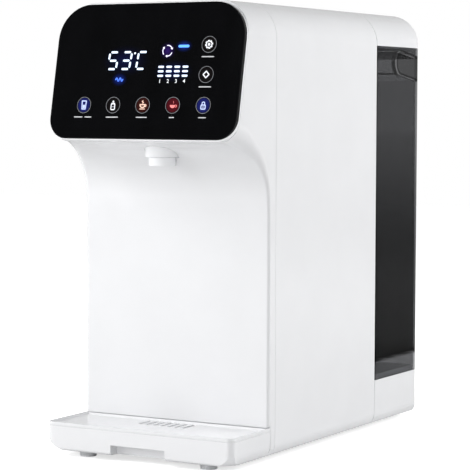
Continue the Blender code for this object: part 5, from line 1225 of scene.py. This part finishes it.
class PURIFIER_OT_studio(bpy.types.Operator):
    """Set up the floor, the light and the photograph's camera"""

    bl_idname = "purifier.studio"
    bl_label = "Studio"

    def execute(self, context):
        scene, studio = context.scene, context.scene.purifier_studio
        half = FLOOR_HALF
        corners = [(-half, -half, 0), (half, -half, 0), (half, half, 0), (-half, half, 0)]
        mesh = bpy.data.meshes.new("studio_floor")
        mesh.from_pydata(corners, [], [(0, 1, 2, 3)])
        floor = new_object("studio_floor", mesh, floor_material())
        scene.world = studio_world(studio.surround)
        for setting, lamp in LAMPS.items():
            soft_lamp(*lamp, getattr(studio, setting))
        data = bpy.data.cameras.new("photo_camera")
        data.lens = CAMERA_LENS
        data.sensor_width = 36.0
        camera = bpy.data.objects.new("photo_camera", data)
        camera.matrix_world = Matrix.Translation(CAMERA_PLACE) @ camera_turn()
        scene.collection.objects.link(camera)
        scene.camera = camera
        scene.view_settings.view_transform = "Standard"
        return {"FINISHED"}


class PURIFIER_PT_sidebar(bpy.types.Panel):
    """The sidebar's list of what can be made"""

    bl_label = "Water Purifier"
    bl_idname = "PURIFIER_PT_sidebar"
    bl_space_type = "VIEW_3D"
    bl_region_type = "UI"
    bl_category = "Purifier"

    def draw(self, context):
        layout = self.layout
        for operator in OPERATORS:
            layout.operator(operator.bl_idname)
        for group in ("purifier_sizes", "purifier_colours", "purifier_studio"):
            values = getattr(context.scene, group)
            for name in values.__annotations__:
                layout.prop(values, name)


GROUPS = {
    "purifier_sizes": PurifierSizes,
    "purifier_colours": PurifierColours,
    "purifier_studio": PurifierStudio,
}
OPERATORS = (
    PURIFIER_OT_shells,
    PURIFIER_OT_tank,
    PURIFIER_OT_panel,
    PURIFIER_OT_works,
    PURIFIER_OT_digits,
    PURIFIER_OT_gauge,
    PURIFIER_OT_signs,
    PURIFIER_OT_keys,
    PURIFIER_OT_studio,
)


def register():
    for kind in (*GROUPS.values(), *OPERATORS, PURIFIER_PT_sidebar):
        bpy.utils.register_class(kind)
    for name, group in GROUPS.items():
        setattr(bpy.types.Scene, name, bpy.props.PointerProperty(type=group))


def unregister():
    for name in GROUPS:
        delattr(bpy.types.Scene, name)
    for kind in reversed((*GROUPS.values(), *OPERATORS, PURIFIER_PT_sidebar)):
        bpy.utils.unregister_class(kind)


def main():
    register()
    bpy.ops.purifier.shells()
    bpy.ops.purifier.tank()
    bpy.ops.purifier.panel()
    bpy.ops.purifier.works()
    bpy.ops.purifier.digits()
    bpy.ops.purifier.gauge()
    bpy.ops.purifier.signs()
    bpy.ops.purifier.keys()
    bpy.ops.purifier.studio()


if __name__ == "__main__":
    main()
